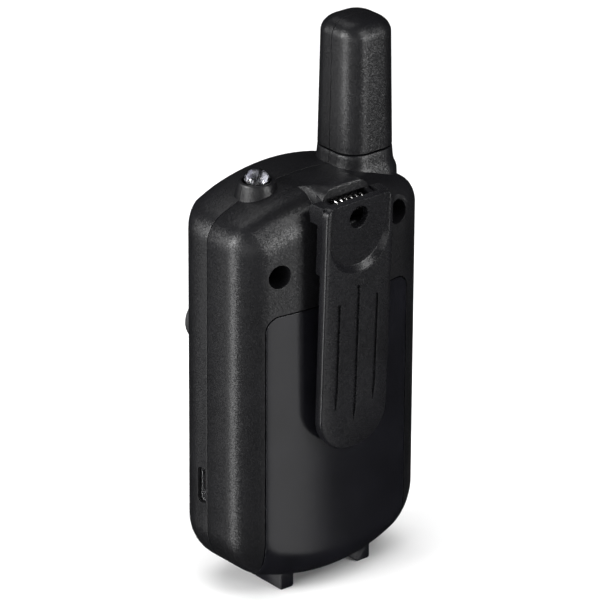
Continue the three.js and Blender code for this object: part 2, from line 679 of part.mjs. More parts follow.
function loudspeaker() {
  const front = -7.6;
  const profile = [[0, front + 1.5], [3, front + 1.5], [4, front + 0.9], [11.6, front + 0.3], [12.4, front],
    [SPEAKER_RADIUS, front], [SPEAKER_RADIUS, front + 0.9], [9, front + 2.1], [7, front + 2.1], [7, front + 3.3],
    [0, front + 3.3]];
  return turnedY(profile, 0, SPEAKER_Z, 24);
}

function shieldCan() {
  const can = plateY(roundedRect(-8, 8, 66, 78, 0.8), PCB_REAR + 0.15, 0.4, 0, 1);
  return cut(can, plateY(roundedRect(-7.6, 7.6, 66.4, 77.6, 0.5), PCB_REAR, 0, 0, 1));
}

function usbSocket() {
  const shell = barX(roundedRect(USB_FRONT + 0.2, USB_REAR - 0.2, 20.05, 27.45, [0.7, 0.2, 0.2, 0.7]), 19.8, 23.2, 1);
  const mouth = barX(roundedRect(USB_FRONT + 0.45, USB_REAR - 0.45, 20.3, 27.2, [0.55, 0.1, 0.1, 0.55]), 20.4, 24, 1);
  return join(cut(shell, mouth), block(20.2, 22.6, -2.1, -1.6, 21.8, 25.7));
}

// ---- Cells, contacts and screws -------------------------------------------------------

// Cell standing on z0; its positive nub points up or down.
function cell(x, z0, nubUp) {
  const outline = [[0, 0], [4.9, 0], [CELL_RADIUS, 0.3], [CELL_RADIUS, CELL_LENGTH - 1.3],
    [4.9, CELL_LENGTH - 1], [1.9, CELL_LENGTH - 1], [1.9, CELL_LENGTH], [0, CELL_LENGTH]];
  const placed = nubUp
    ? outline.map(([radius, z]) => [radius, z0 + z])
    : outline.map(([radius, z]) => [radius, z0 + CELL_LENGTH - z]);
  return turnedZ(placed, x, CELL_Y, 20);
}

const SPRING_FOOT = BAY_FLOOR + 0.9;
const CELL_LOW = BAY_FLOOR + 0.9;
const CELL_HIGH = CELL_LOW + 5.8;

const cellSpring = (x, wide, narrow) =>
  shifted(wire(coilPoints(3.1, 2.2, wide, narrow, 3.5), 0.28, 28), x, CELL_Y, 0);

const contactPlate = (x0, x1, z) => block(x0, x1, 2, 8.8, z, z + 0.3);

// Screw along Y: head behind, shank running forward.
function caseScrew(x, z, headBack, headRadius, headHeight, tip) {
  const seat = headBack - headHeight;
  const profile = [[0, tip], [0.9, tip + 0.6], [0.9, seat], [headRadius, seat], [headRadius, headBack - 0.35],
    [headRadius - 0.5, headBack], [0, headBack]];
  const screw = turnedY(profile, x, z, 16);
  const drive = [[1.2, 0.25], [0.25, 1.2]].map(([dx, dz]) =>
    block(x - dx, x + dx, headBack - 0.6, headBack + 1, z - dz, z + dz));
  return cut(screw, ...drive);
}

// ---- Assembly -------------------------------------------------------------------------

add('front_shell', frontShell(), shellPlastic);
add('rear_shell', rearShell(), shellPlastic);
add('battery_door', batteryDoor(), doorPlastic);

add('antenna_front_cover', antennaCover(inFront), shellPlastic);
add('antenna_rear_cover', antennaCover(behind), shellPlastic);
add('antenna_coil', antennaCoil(), copper);
add('antenna_core', antennaCore(), blackMoulding);
add('torch_led', torchLed(), clearPlastic);

add('belt_clip', beltClip(), clipPlastic);
add('clip_pin', rodX(PIN_RADIUS, PIN_Y, PIN_Z, -PIN_HALF, PIN_HALF, 20), steel);
add('clip_spring', clipSpring(), steel);

add('key_menu', roundKey(-KEY_SIDE_X), keyRubber);
add('key_light', roundKey(KEY_SIDE_X), keyRubber);
add('key_up', barKey(KEY_UP_Z), keyRubber);
add('key_down', barKey(KEY_DOWN_Z), keyRubber);
add('talk_button', talkButton(), keyRubber);
add('keypad_mat', keypadMat(), blackMoulding);
for (const [name, x, z] of keySpots()) add(`switch_${name}`, tactSwitch(x, z), blackMoulding);
const talkSwitch = join(block(-19.6, -15.8, -2.6, 1, 64.7, 69.7), rodX(0.9, -0.8, 67.2, -20.1, -19, 12));
add('switch_talk', talkSwitch, blackMoulding);

const windowOutline = roundedRect(-12.7, 12.7, 64.8, 79.2, 1.7);
add('display_window', plateY(windowOutline, -10, -9.1, 0.2), clearPlastic);
add('display_module', block(-11.9, 11.9, -8, -4.6, 63.6, 79.3), displayGlass);

add('main_board', mainBoard(), boardGreen);
add('shield_can', shieldCan(), steel);
add('controller_chip', block(-13, -6, -5.3, PCB_FRONT - 0.1, 40.5, 47.2), blackMoulding);
add('loudspeaker', loudspeaker(), steel);
add('microphone', rodY(3, 9.5, 44.5, -6.8, PCB_FRONT - 0.1, 20), steel);
add('usb_socket', usbSocket(), steel);

add('cell_1', cell(-CELL_PITCH, CELL_HIGH, true), cellLabel);
add('cell_2', cell(0, CELL_LOW, false), cellLabel);
add('cell_3', cell(CELL_PITCH, CELL_HIGH, true), cellLabel);
const SPRING_TOP = CELL_HIGH + CELL_LENGTH + 0.1;
add('cell_spring_1', cellSpring(-CELL_PITCH, SPRING_FOOT + 0.1, CELL_HIGH - 0.5), steel);
add('cell_spring_2', cellSpring(0, SPRING_TOP - 0.1, CELL_LOW + CELL_LENGTH + 0.5), steel);
add('cell_spring_3', cellSpring(CELL_PITCH, SPRING_FOOT + 0.1, CELL_HIGH - 0.5), steel);
add('contact_low_single', contactPlate(-15, -6.8, BAY_FLOOR + 0.2), steel);
add('contact_low_bridge', contactPlate(-4, 15, BAY_FLOOR + 0.2), steel);
add('contact_high_bridge', contactPlate(-15, 4, BAY_CEILING - 0.5), steel);
add('contact_high_single', contactPlate(6.8, 15, BAY_CEILING - 0.5), steel);

UPPER_SCREWS.forEach(([x, z], i) => add(`case_screw_${i + 1}`, caseScrew(x, z, 8, 2, 1.7, -6.8), steel));
LOWER_SCREWS.forEach(([x, z], i) => add(`case_screw_${i + 3}`, caseScrew(x, z, 1.25, 1.7, 0.95, -6.8), steel));

// Set the origin at the centre of the footprint, on the floor.
const extents = new THREE.Box3().setFromObject(radio);
const middle = extents.getCenter(new THREE.Vector3());
radio.position.set(-middle.x, -middle.y, -extents.min.z);

export default radio;
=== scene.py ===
"""Looks of a hand-held two-way radio: fine surfaces and procedural materials around the CAD frame.

Shapes are built in millimetres in the CAD part's design frame (x = 0 on the centre line, y = 0 at
the parting plane, z = 0 on the floor) and are placed in metres in the row frame when finished.
"""

import math

import bmesh
import bpy
from mathutils import Matrix, Vector


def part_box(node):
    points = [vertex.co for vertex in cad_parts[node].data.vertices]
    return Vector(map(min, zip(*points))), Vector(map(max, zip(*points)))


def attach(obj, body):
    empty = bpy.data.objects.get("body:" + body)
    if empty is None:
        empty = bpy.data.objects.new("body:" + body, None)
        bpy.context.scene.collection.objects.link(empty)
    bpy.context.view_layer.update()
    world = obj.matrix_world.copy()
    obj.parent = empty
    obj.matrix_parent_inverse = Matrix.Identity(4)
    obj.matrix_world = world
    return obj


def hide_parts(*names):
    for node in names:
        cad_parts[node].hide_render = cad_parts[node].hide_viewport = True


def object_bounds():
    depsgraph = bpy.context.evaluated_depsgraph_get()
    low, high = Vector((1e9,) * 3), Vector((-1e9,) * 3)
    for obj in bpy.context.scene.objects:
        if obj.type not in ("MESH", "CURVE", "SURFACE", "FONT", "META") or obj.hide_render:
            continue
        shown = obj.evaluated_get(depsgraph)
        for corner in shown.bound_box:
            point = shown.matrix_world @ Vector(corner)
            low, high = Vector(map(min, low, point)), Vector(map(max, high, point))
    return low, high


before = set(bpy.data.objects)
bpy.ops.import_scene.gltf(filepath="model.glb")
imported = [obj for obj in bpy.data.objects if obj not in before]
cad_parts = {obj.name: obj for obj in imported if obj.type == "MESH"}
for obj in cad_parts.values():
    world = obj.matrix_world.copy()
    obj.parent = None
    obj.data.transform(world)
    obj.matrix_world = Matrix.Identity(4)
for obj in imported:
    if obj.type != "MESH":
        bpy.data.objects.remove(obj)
cad_low, cad_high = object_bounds()

# ---- Dimensions in millimetres ----------------------------------------------------------

GAP = 0.3
HALF_WIDTH = 24
BODY_TOP = 87.2
BODY_BOTTOM = 1.7
TOP_CROWN = 50
BOTTOM_CROWN = 48
TOP_CORNER = 6.5
BOTTOM_CORNER = 11
FRONT_FACE = -10.2
REAR_FACE = 13.4
REAR_CROWN = 100
FRONT_FILLET = 6.6
TOP_LIFT = 0.85
REAR_FILLET = 7
LIFT_START = 60
LIFT_SPAN = 20
WALL = 1.8
DOOR_WALL = 1.6
PARTING_EDGE = 0.1  # rounding where two mouldings meet
SEAM = 0.06  # half the width of the parting line between the mouldings

ANTENNA_X = -14.1
ANTENNA_BASE = 89.6
ANTENNA_TOP = 117
ANTENNA_HALF = 6.65
ANTENNA_CORNER = 4.5
ANTENNA_CROWN = 3.6
COLLAR_FOOT = 82.2
TORCH_X = 11.3
TORCH_RADIUS = 2.7
TORCH_COLLAR_TOP = 87.9

DOOR_HALF = 18.2
DOOR_TOP = 63.4
DOOR_CORNER = 2.8
TONGUE_FRONT = 10.95
TONGUE_REAR = 11.7
TONGUE_HALF = 8.2

CELL_RADIUS = 5.2
CELL_LENGTH = 44.5
CELL_PITCH = 10.8
CELL_Y = 5.6
BAY_FLOOR = 9.2
BAY_CEILING = 61.3
BAY_HALF = 17.6
BAY_RIB = 1.8
BAY_RIB_REAR = 10.4

CLIP_HALF = 8.6
CLIP_BOTTOM = 32.2
CLIP_TOP = 86.6
CLIP_INNER = 16.6
CLIP_OUTER = 18.7
CLIP_LEAN = 2
PIN_Y = 14.5
PIN_Z = 84.4
PIN_RADIUS = 0.9
PIN_HALF = 7.5
PIN_PLAY = 0.25
LUG_HALF = 6
LUG_POCKET_HALF = 4.9
LUG_FOOT = 74
LUG_SHOULDER = 85.9
LUG_TOP = 88.6

SKID_INNER = 8.4
SKID_OUTER = 11.9
USB_FRONT = -3.1
USB_REAR = -0.6
USB_LOW = 19.8
USB_HIGH = 27.7
TALK_Z = 65.5
TALK_HALF_WIDTH = 3
TALK_HALF_HEIGHT = 9
KEY_SIDE_X = 15.9
KEY_ROW_Z = 55.6
KEY_UP_Z = 59.6
KEY_DOWN_Z = 51.6
KEY_TOP = -11.6
KEY_RADIUS = 5
FLANGE_FRONT = -7.7
FLANGE_BACK = -6.9
WINDOW_SEAT_HALF = 13
WINDOW_SEAT_LOW = 64.5
WINDOW_SEAT_HIGH = 79.5
WINDOW_SEAT_BACK = -8.8
SPEAKER_Z = 27
SPEAKER_SLOT_HALVES = [5.5, 8.5, 9.5, 8.5, 5.5]
SPEAKER_SLOT_PITCH = 4
SPEAKER_SLOT_RISE = 0.8
MICROPHONE = (9.5, 44.5)

UPPER_SCREWS = [(15.3, 72.1), (-15.3, 77.9)]
LOWER_SCREWS = [(5.4, 11.2), (-5.4, 11.2)]
SCREW_TIP = -6.8

# The design frame's place in the row frame, read from the CAD pieces.
MM = 0.001
door_low, door_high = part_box("battery_door")
DESIGN_ORIGIN = Vector((
    (door_low.x + door_high.x) / 2,
    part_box("antenna_rear_cover")[0].y - GAP / 2 * MM,
    cad_low.z,
))
TO_ROW = Matrix.Translation(DESIGN_ORIGIN) @ Matrix.Scale(MM, 4)

# ---- Solids -----------------------------------------------------------------------------


def skin(rings):
    """Closed solid over a stack of rings; a ring of one point is a pole, other end rings are capped."""
    mesh = bmesh.new()
    rows = [[mesh.verts.new(point) for point in ring] for ring in rings]
    for low, high in zip(rows, rows[1:]):
        count = max(len(low), len(high))
        for i in range(count):
            j = (i + 1) % count
            if len(low) == 1:
                mesh.faces.new((low[0], high[j], high[i]))
            elif len(high) == 1:
                mesh.faces.new((low[i], low[j], high[0]))
            else:
                mesh.faces.new((low[i], low[j], high[j], high[i]))
    for end in (rows[0], rows[-1]):
        if len(end) > 1:
            mesh.faces.new(end)
    bmesh.ops.recalc_face_normals(mesh, faces=mesh.faces)
    data = bpy.data.meshes.new("solid")
    mesh.to_mesh(data)
    mesh.free()
    shape = bpy.data.objects.new("solid", data)
    bpy.context.scene.collection.objects.link(shape)
    return shape


def boolean(first, operation, others):
    """Apply one boolean operation with each other solid in turn, which uses the others up."""
    for other in others:
        step = first.modifiers.new("boolean", "BOOLEAN")
        step.operation = operation
        step.solver = "MANIFOLD"
        step.object = other
    depsgraph = bpy.context.evaluated_depsgraph_get()
    result = bpy.data.meshes.new_from_object(first.evaluated_get(depsgraph))
    first.modifiers.clear()
    first.data = result
    for other in others:
        bpy.data.objects.remove(other)
    return first


def join(first, *others):
    return boolean(first, "UNION", others)


def cut(first, *others):
    return boolean(first, "DIFFERENCE", others)


def common(first, *others):
    return boolean(first, "INTERSECT", others)


def transformed(shape, matrix):
    """Move a solid by a matrix; a mirroring matrix keeps its faces pointing outwards."""
    shape.data.transform(matrix)
    if matrix.determinant() < 0:
        shape.data.flip_normals()
    return shape


def mirrored(shape):
    return transformed(shape, Matrix.Scale(-1, 4, (1, 0, 0)))


def block(x0, x1, y0, y1, z0, z1):
    return skin([[(x0, y0, z), (x1, y0, z), (x1, y1, z), (x0, y1, z)] for z in (z0, z1)])


def along_x(a, b, t):
    return Vector((t, a, b))


def along_y(a, b, t):
    return Vector((a, t, b))


def along_z(a, b, t):
    return Vector((a, b, t))


def turned(profile, axis, centre, segments=48):
    """Turned solid; profile is a list of (radius, height) that starts and ends on the axis."""
    angles = [2 * math.pi * i / segments for i in range(segments)]
    rings = []
    for radius, height in profile:
        if radius == 0:
            rings.append([axis(*centre, height)])
            continue
        rings.append([
            axis(centre[0] + radius * math.cos(a), centre[1] + radius * math.sin(a), height)
            for a in angles
        ])
    return skin(rings)


def rod(radius, axis, centre, low, high, segments=32):
    return turned([(0, low), (radius, low), (radius, high), (0, high)], axis, centre, segments)


def quarter_turn(steps):
    """Angles from 0 to 90 degrees, in radians."""
    return [math.pi / 2 * i / steps for i in range(steps + 1)]


def prism(outline, axis, low, high, edge=0.0, steps=3):
    """Extruded outline whose two rims are rounded by edge; outline(inset) gives its points."""
    levels = [(0, low), (0, high)]
    if edge:
        turn = quarter_turn(steps)
        start = [(edge * (1 - math.sin(a)), low + edge * (1 - math.cos(a))) for a in turn]
        levels = start + [(inset, low + high - t) for inset, t in reversed(start)]
    return skin([[axis(a, b, t) for a, b in outline(inset)] for inset, t in levels])


def rounded_rect(x0, x1, z0, z1, radii, steps=8):
    """Outline with rounded corners, in the order lower left, lower right, upper right, upper left."""
    radii = radii if isinstance(radii, list) else [radii] * 4
    sharpest = 0.02

    def outline(inset):
        points = []
        sides = [(x0, z0, 1, 1), (x1, z0, -1, 1), (x1, z1, -1, -1), (x0, z1, 1, -1)]
        for turn, ((x, z, sx, sz), radius) in enumerate(zip(sides, radii)):
            r = max(radius - inset, sharpest)
            cx, cz = x + sx * (inset + r), z + sz * (inset + r)
            for bend in quarter_turn(steps):
                angle = math.pi + turn * math.pi / 2 + bend
                points.append((cx + r * math.cos(angle), cz + r * math.sin(angle)))
        return points

    return outline


def polygon(*points):
    """Outline through fixed points, for a prism whose rims stay sharp."""
    return lambda inset: points


def arc(x, z, radius, start, end, steps=8):
    """Points of a circular arc between two angles in degrees."""
    angles = [math.radians(start + (end - start) * i / steps) for i in range(steps + 1)]
    return [(x + radius * math.cos(a), z + radius * math.sin(a)) for a in angles]


def curve_between(a, control, b):
    """Quadratic curve from a to b, leaving out a itself."""
    steps = 8
    a, control, b = Vector(a), Vector(control), Vector(b)
    ts = [i / steps for i in range(1, steps + 1)]
    return [tuple((1 - t) ** 2 * a + 2 * t * (1 - t) * control + t * t * b) for t in ts]


def spline(points, places):
    """Points of a smooth curve through the given ones; place 1.5 lies between points[1] and points[2]."""
    points = [Vector(p) for p in points]
    padded = [2 * points[0] - points[1], *points, 2 * points[-1] - points[-2]]
    curve = []
    for place in places:
        k = min(int(place), len(points) - 2)
        t = place - k
        a, b, c, d = padded[k:k + 4]
        curve.append(0.5 * (2 * b + (c - a) * t + (2 * a - 5 * b + 4 * c - d) * t ** 2
                            + (3 * b - a - 3 * c + d) * t ** 3))
    return curve


def wire(points, radius, steps):
    """Round wire along a smooth path through the points."""
    sides = 10
    path = spline(points, [i / steps * (len(points) - 1) for i in range(steps + 1)])
    rings = []
    side = Vector((0, 0, 1)).cross(path[1] - path[0]).normalized()
    for i, point in enumerate(path):
        ahead, behind = path[min(i + 1, steps)], path[max(i - 1, 0)]
        tangent = (ahead - behind).normalized()
        side = (side - side.dot(tangent) * tangent).normalized()
        up = tangent.cross(side)
        turns = [2 * math.pi * n / sides for n in range(sides)]
        rings.append([point + radius * (math.cos(a) * side + math.sin(a) * up) for a in turns])
    return skin(rings)


def coil_points(r0, r1, z0, z1, turns):
    """Points of a coil about +Z whose radius runs from r0 at z0 to r1 at z1."""
    points_per_turn = 12
    count = round(turns * points_per_turn)
    points = []
    for i in range(count + 1):
        t = i / count
        angle = 2 * math.pi * turns * t
        radius = r0 + (r1 - r0) * t
        points.append((radius * math.cos(angle), radius * math.sin(angle), z0 + (z1 - z0) * t))
    return points


# ---- Case forms -------------------------------------------------------------------------


def body_outline(inset):
    """Closed (x, z) outline of the case, moved inwards by inset; always the same point count."""
    corner_steps, crown_steps = 14, 9

    def quarter(corner, crown, crown_centre, sign):
        radius = max(corner - inset, 0.2)
        x = HALF_WIDTH - inset - radius
        rise = math.sqrt((crown - inset - radius) ** 2 - x ** 2)
        end = math.atan2(rise, x)
        points = []
        for i in range(corner_steps + 1):
            angle = end * i / corner_steps
            height = rise + radius * math.sin(angle)
            points.append((x + radius * math.cos(angle), crown_centre + sign * height))
        for i in range(1, crown_steps):
            angle = end + (math.pi / 2 - end) * i / crown_steps
            reach = crown - inset
            points.append((reach * math.cos(angle), crown_centre + sign * reach * math.sin(angle)))
        return points

    def other_side(points):
        return [(-x, z) for x, z in reversed(points)]

    top = quarter(TOP_CORNER, TOP_CROWN, BODY_TOP - TOP_CROWN, 1)
    bottom = quarter(BOTTOM_CORNER, BOTTOM_CROWN, BODY_BOTTOM + BOTTOM_CROWN, -1)
    apex, base = (0, BODY_TOP - inset), (0, BODY_BOTTOM + inset)
    return [*top, apex, *other_side(top), *reversed(other_side(bottom)), base, *reversed(bottom)]


def crown_drop(x, y):
    """The back is crowned: it falls away from the centre line, fully at the rear face."""
    return x ** 2 / (2 * REAR_CROWN) * (max(y, 0) / REAR_FACE) ** 2


def ring_at(inset, y, lift=0.0):
    """Case outline at depth y on the crowned back; lift raises its upper part."""
    ring = []
    for x, z in body_outline(inset):
        upper = min(max((z - LIFT_START) / LIFT_SPAN, 0), 1)
        ring.append(Vector((x, y - crown_drop(x, y), z + lift * upper)))
    return ring


def front_half(shrink, open_end, edge=0.0):
    """Front half of the case filled solid, shrunk on every side by shrink."""
    fillet = FRONT_FILLET - shrink
    rings = [ring_at(inset, FRONT_FACE + shrink, TOP_LIFT * fillet) for inset in (18, 14, 10)]
    for a in quarter_turn(10):
        inset = shrink + fillet * (1 - math.sin(a))
        y = FRONT_FACE + shrink + fillet * (1 - math.cos(a))
        rings.append(ring_at(inset, y, TOP_LIFT * (inset - shrink)))
    if edge:
        rings += [ring_at(shrink + edge * (1 - math.cos(a)), open_end - edge * (1 - math.sin(a)))
                  for a in quarter_turn(3)]
    else:
        rings.append(ring_at(shrink, open_end))
    return skin(rings)


def rear_half(shrink, open_end, edge=0.0):
    """Rear half of the case filled solid, shrunk on every side by shrink."""
    fillet = REAR_FILLET - shrink
    rings = [ring_at(shrink, open_end)]
    if edge:
        rings = [ring_at(shrink + edge * (1 - math.sin(a)), open_end + edge * (1 - math.cos(a)))
                 for a in quarter_turn(3)]
    for a in quarter_turn(12):
        inset = shrink + fillet * (1 - math.cos(a))
        rings.append(ring_at(inset, REAR_FACE - shrink - fillet * (1 - math.sin(a))))
    rings += [ring_at(8.5 + 2 * i, REAR_FACE - shrink) for i in range(8)]
    return skin(rings)


def outline_plug(inset, y0, y1):
    """Straight plug with the case's outline, moved inwards by inset."""
    return prism(lambda extra: body_outline(inset + extra), along_y, y0, y1)


def square_tower(x, levels):
    """Stack of rounded squares centred on (x, 0); levels is a list of (z, half width, corner radius)."""
    return skin([
        [along_z(px, py, z) for px, py in rounded_rect(x - half, x + half, -half, half, corner, 10)(0)]
        for z, half, corner in levels
    ])


def smoothed(levels):
    """Levels with a smooth curve through them."""
    steps = 4
    places = [i / steps for i in range(steps * (len(levels) - 1))]
    return [tuple(p) for p in [*spline(levels, places), Vector(levels[-1])]]


def in_front():
    """Everything in front of the parting line."""
    return block(-60, 60, -60, -SEAM, -10, 140)


def behind():
    """Everything behind the parting line."""
    return block(-60, 60, SEAM, 60, -10, 140)


def collars():
    """Collars that both shells share: the flared antenna seat and the torch cone."""
    half, corner, top = ANTENNA_HALF, ANTENNA_CORNER, TORCH_COLLAR_TOP
    seat = [(COLLAR_FOOT, 7.6, 5.2), (84.6, 7.5, 5.1), (86.4, 6.95, 4.8), (89, half + 0.03, corner + 0.02)]
    rim = [(89.2, half - 0.03, corner), (89.3, half - 0.15, corner - 0.1)]
    cone = [(4.7, COLLAR_FOOT), (4.5, 84.8)]
    cone += [(3.88, top - 0.6), (3.82, top - 0.3), (3.7, top - 0.08), (3.5, top)]
    return [
        square_tower(ANTENNA_X, smoothed(seat) + rim),
        turned([(0, COLLAR_FOOT), *cone, (0, top)], along_z, (TORCH_X, 0), 64),
    ]


def collar_bores():
    """Hollows of the two collars: the antenna seat's, its narrower mouth and the torch's."""
    bore = TORCH_RADIUS + 0.2
    torch_bore = [(0, 82), (bore, 82), (bore, 87.6), (bore + 0.2, 88), (bore + 0.2, 89), (0, 89)]
    return [
        square_tower(ANTENNA_X, [(82, 5.6, 3.8), (87.6, 5.2, 3.5)]),
        square_tower(ANTENNA_X, [(82, 4.9, 3), (90, 4.9, 3)]),
        turned(torch_bore, along_z, (TORCH_X, 0)),
    ]


def talk_opening():
    """Opening for the talk button in the -X side."""
    half_width, half_height = TALK_HALF_WIDTH + GAP, TALK_HALF_HEIGHT + GAP
    outline = rounded_rect(-half_width, half_width, TALK_Z - half_height, TALK_Z + half_height, 2.7)
    return prism(outline, along_x, -26, -21)


def usb_opening():
    """D-shaped mouth of the charging inlet, rounder at the front."""
    outline = rounded_rect(USB_FRONT, USB_REAR, USB_LOW, USB_HIGH, [0.9, 0.3, 0.3, 0.9])
    return prism(outline, along_x, 21, 26)


def skid(y0, y1, top):
    """Foot bar on the +X side; its twin is mirrored."""
    outline = rounded_rect(SKID_INNER, SKID_OUTER, 0, top, [0.5, 0.5, 0.1, 0.1])
    return prism(outline, along_y, y0, y1, 0.2)


def front_shell():
    shell = join(front_half(0, -SEAM, PARTING_EDGE), *[common(c, in_front()) for c in collars()])
    shell = cut(shell, front_half(WALL, 1), *collar_bores())
    bosses = [rod(2.6, along_y, spot, -8.9, -GAP - 1.2) for spot in UPPER_SCREWS + LOWER_SCREWS]
    skids = [skid(-7.4, -GAP / 2, 5), mirrored(skid(-7.4, -GAP / 2, 5))]
    # Lip that locates the rear shell, running inside the parting line.
    for outside, y0, y1 in ((WALL + GAP, -3, 1.4), (WALL - GAP, -3, -1.2)):
        lip = cut(
            outline_plug(outside, y0, y1),
            outline_plug(WALL + 1.2, -4, 2),
            block(-30, 30, -4, 2, -10, 16),
            block(-30, 30, -4, 2, 78, 100),
            block(-30, 0, -4, 2, 54, 80),
            block(0, 30, -4, 2, 17, 30),
        )
        shell = join(shell, lip)
    shell = join(shell, *bosses, *skids)
    pilots = [rod(1.2, along_y, spot, -7.4, 0) for spot in UPPER_SCREWS + LOWER_SCREWS]
    half, ledge = WINDOW_SEAT_HALF, 1.5
    seat = rounded_rect(-half, half, WINDOW_SEAT_LOW, WINDOW_SEAT_HIGH, 2)
    window_seat = prism(seat, along_y, -11, WINDOW_SEAT_BACK)
    hole = rounded_rect(2 - half, half - 2, WINDOW_SEAT_LOW + ledge, WINDOW_SEAT_HIGH - ledge, 1.2)
    window_hole = prism(hole, along_y, -11, -7)
    key_holes = [rod(KEY_RADIUS + GAP, along_y, (x, KEY_ROW_Z), -12, -6, 64)
                 for x in (-KEY_SIDE_X, KEY_SIDE_X)]
    key_holes += [prism(key_bar(z, GAP), along_y, -12, -6) for z in (KEY_UP_Z, KEY_DOWN_Z)]
    grille = []
    for row, reach in enumerate(SPEAKER_SLOT_HALVES, start=-2):
        z = SPEAKER_Z + SPEAKER_SLOT_PITCH * row
        slot = rounded_rect(-reach, reach, z - SPEAKER_SLOT_RISE, z + SPEAKER_SLOT_RISE,
                            SPEAKER_SLOT_RISE - 0.01)
        grille.append(prism(slot, along_y, -12, -7))
    microphone_hole = rod(0.7, along_y, MICROPHONE, -12, -7)
    return cut(shell, *pilots, window_seat, window_hole, *key_holes, *grille, microphone_hole,
               talk_opening(), usb_opening())


def door_outline(extra):
    """Outline of the battery door, moved outwards by extra; it runs on below the case."""
    half, top = DOOR_HALF + extra, DOOR_CORNER + extra
    return rounded_rect(-half, half, -2, DOOR_TOP + extra, [0.1, 0.1, top, top])


def rear_shell():
    shell = join(rear_half(0, SEAM, PARTING_EDGE), *[common(c, behind()) for c in collars()], clip_lug())
    shell = cut(shell, rear_half(WALL, -1), *collar_bores())
    # Battery bay: inner wall, two side ribs and two end walls, moulded with the shell.
    outer, roof, floor_bottom = BAY_HALF + BAY_RIB, BAY_CEILING + 3, BAY_FLOOR - 1.2
    bay = join(
        block(-outer, outer, -1, 0.05, 8, roof),
        block(BAY_HALF, outer, -1, BAY_RIB_REAR, 8, roof),
        block(-outer, -BAY_HALF, -1, BAY_RIB_REAR, 8, roof),
        block(-BAY_HALF - 1, BAY_HALF + 1, -1, TONGUE_FRONT - 0.35, floor_bottom, BAY_FLOOR),
        block(-BAY_HALF - 1, BAY_HALF + 1, -1, 12.6, BAY_CEILING, roof),
    )
    bay = common(bay, outline_plug(WALL + 1.6, -2, 14), rear_half(0.6, -2))
    bosses = [rod(3.4, along_y, spot, 0.3, 11.3) for spot in UPPER_SCREWS]
    shell = join(shell, bay, *bosses)
    recess = cut(
        prism(door_outline(GAP), along_y, -0.5, 20),
        rear_half(DOOR_WALL + GAP, -3),
        block(-30, 30, -5, GAP, floor_bottom, 100),
    )
    slot_half, slot_front = TONGUE_HALF + 2 * GAP, TONGUE_FRONT - 0.4
    tongue_slot = join(
        block(-slot_half, slot_half, slot_front, 12.3, 59, DOOR_TOP + GAP),
        block(-slot_half, slot_half, slot_front, TONGUE_REAR + GAP, 62, DOOR_TOP + 2.8),
    )
    heads = [rod(2.5, along_y, spot, 6, 20, 64) for spot in UPPER_SCREWS]
    shanks = [rod(1.3, along_y, spot, -2, 8) for spot in UPPER_SCREWS + LOWER_SCREWS]
    usb_notch = block(18.7, 23, -1.5, 0.02, 18.6, 28.9)
    return cut(shell, recess, tongue_slot, *heads, *shanks, usb_notch, talk_opening(), usb_opening())


def clip_lug():
    """Raised lug at the top of the back: a rounded hood and two ears that carry the clip's pin."""
    right, left = (LUG_HALF, LUG_SHOULDER), (-LUG_HALF, LUG_SHOULDER)
    top_right, top_left = (3.6, LUG_TOP), (-3.6, LUG_TOP)
    arch = polygon((-LUG_HALF, LUG_FOOT), (LUG_HALF, LUG_FOOT), right,
                   *curve_between(right, (5.6, LUG_TOP - 0.5), top_right),
                   *curve_between(top_right, (0, LUG_TOP + 0.6), top_left),
                   *curve_between(top_left, (-5.6, LUG_TOP - 0.5), left))
    slope = polygon((5, 73), (13.9, 73), (13.9, 88.2), *arc(13.2, 88.2, 0.7, 15, 90),
                    (11.5, 88.9), (5, CLIP_TOP))
    hood = common(prism(arch, along_y, 5, PIN_Y), prism(slope, along_x, -7, 7))
    ear_outline = polygon((12, 81.6), *arc(PIN_Y, PIN_Z, 1.7, -90, 90, 16), (12, 87))
    ear = prism(ear_outline, along_x, LUG_POCKET_HALF, LUG_HALF)
    other_ear = mirrored(prism(ear_outline, along_x, LUG_POCKET_HALF, LUG_HALF))
    pocket = block(-LUG_POCKET_HALF, LUG_POCKET_HALF, 12.4, 17, 78.5, CLIP_TOP)
    bore = rod(PIN_RADIUS + PIN_PLAY, along_x, (PIN_Y, PIN_Z), -9, 9)
    return cut(join(hood, ear, other_ear), pocket, bore)


def battery_door():
    """Crowned door that wraps under the case, with its tongue and the rear parts of the skids."""
    wall = cut(rear_half(0, GAP / 2, PARTING_EDGE), rear_half(DOOR_WALL, -1))
    panel = common(wall, prism(door_outline(0), along_y, -1, 20))
    root = common(block(-8, 8, TONGUE_FRONT, 12.6, 59.6, DOOR_TOP - 0.3), rear_half(0.8, 0))
    tip = block(-TONGUE_HALF, TONGUE_HALF, TONGUE_FRONT, TONGUE_REAR, 60.6, DOOR_TOP + 2.4)
    tongue = join(tip, root)
    return join(panel, tongue, skid(GAP, 8.6, 3.6), mirrored(skid(GAP, 8.6, 3.6)))


# ---- Antenna and torch ------------------------------------------------------------------


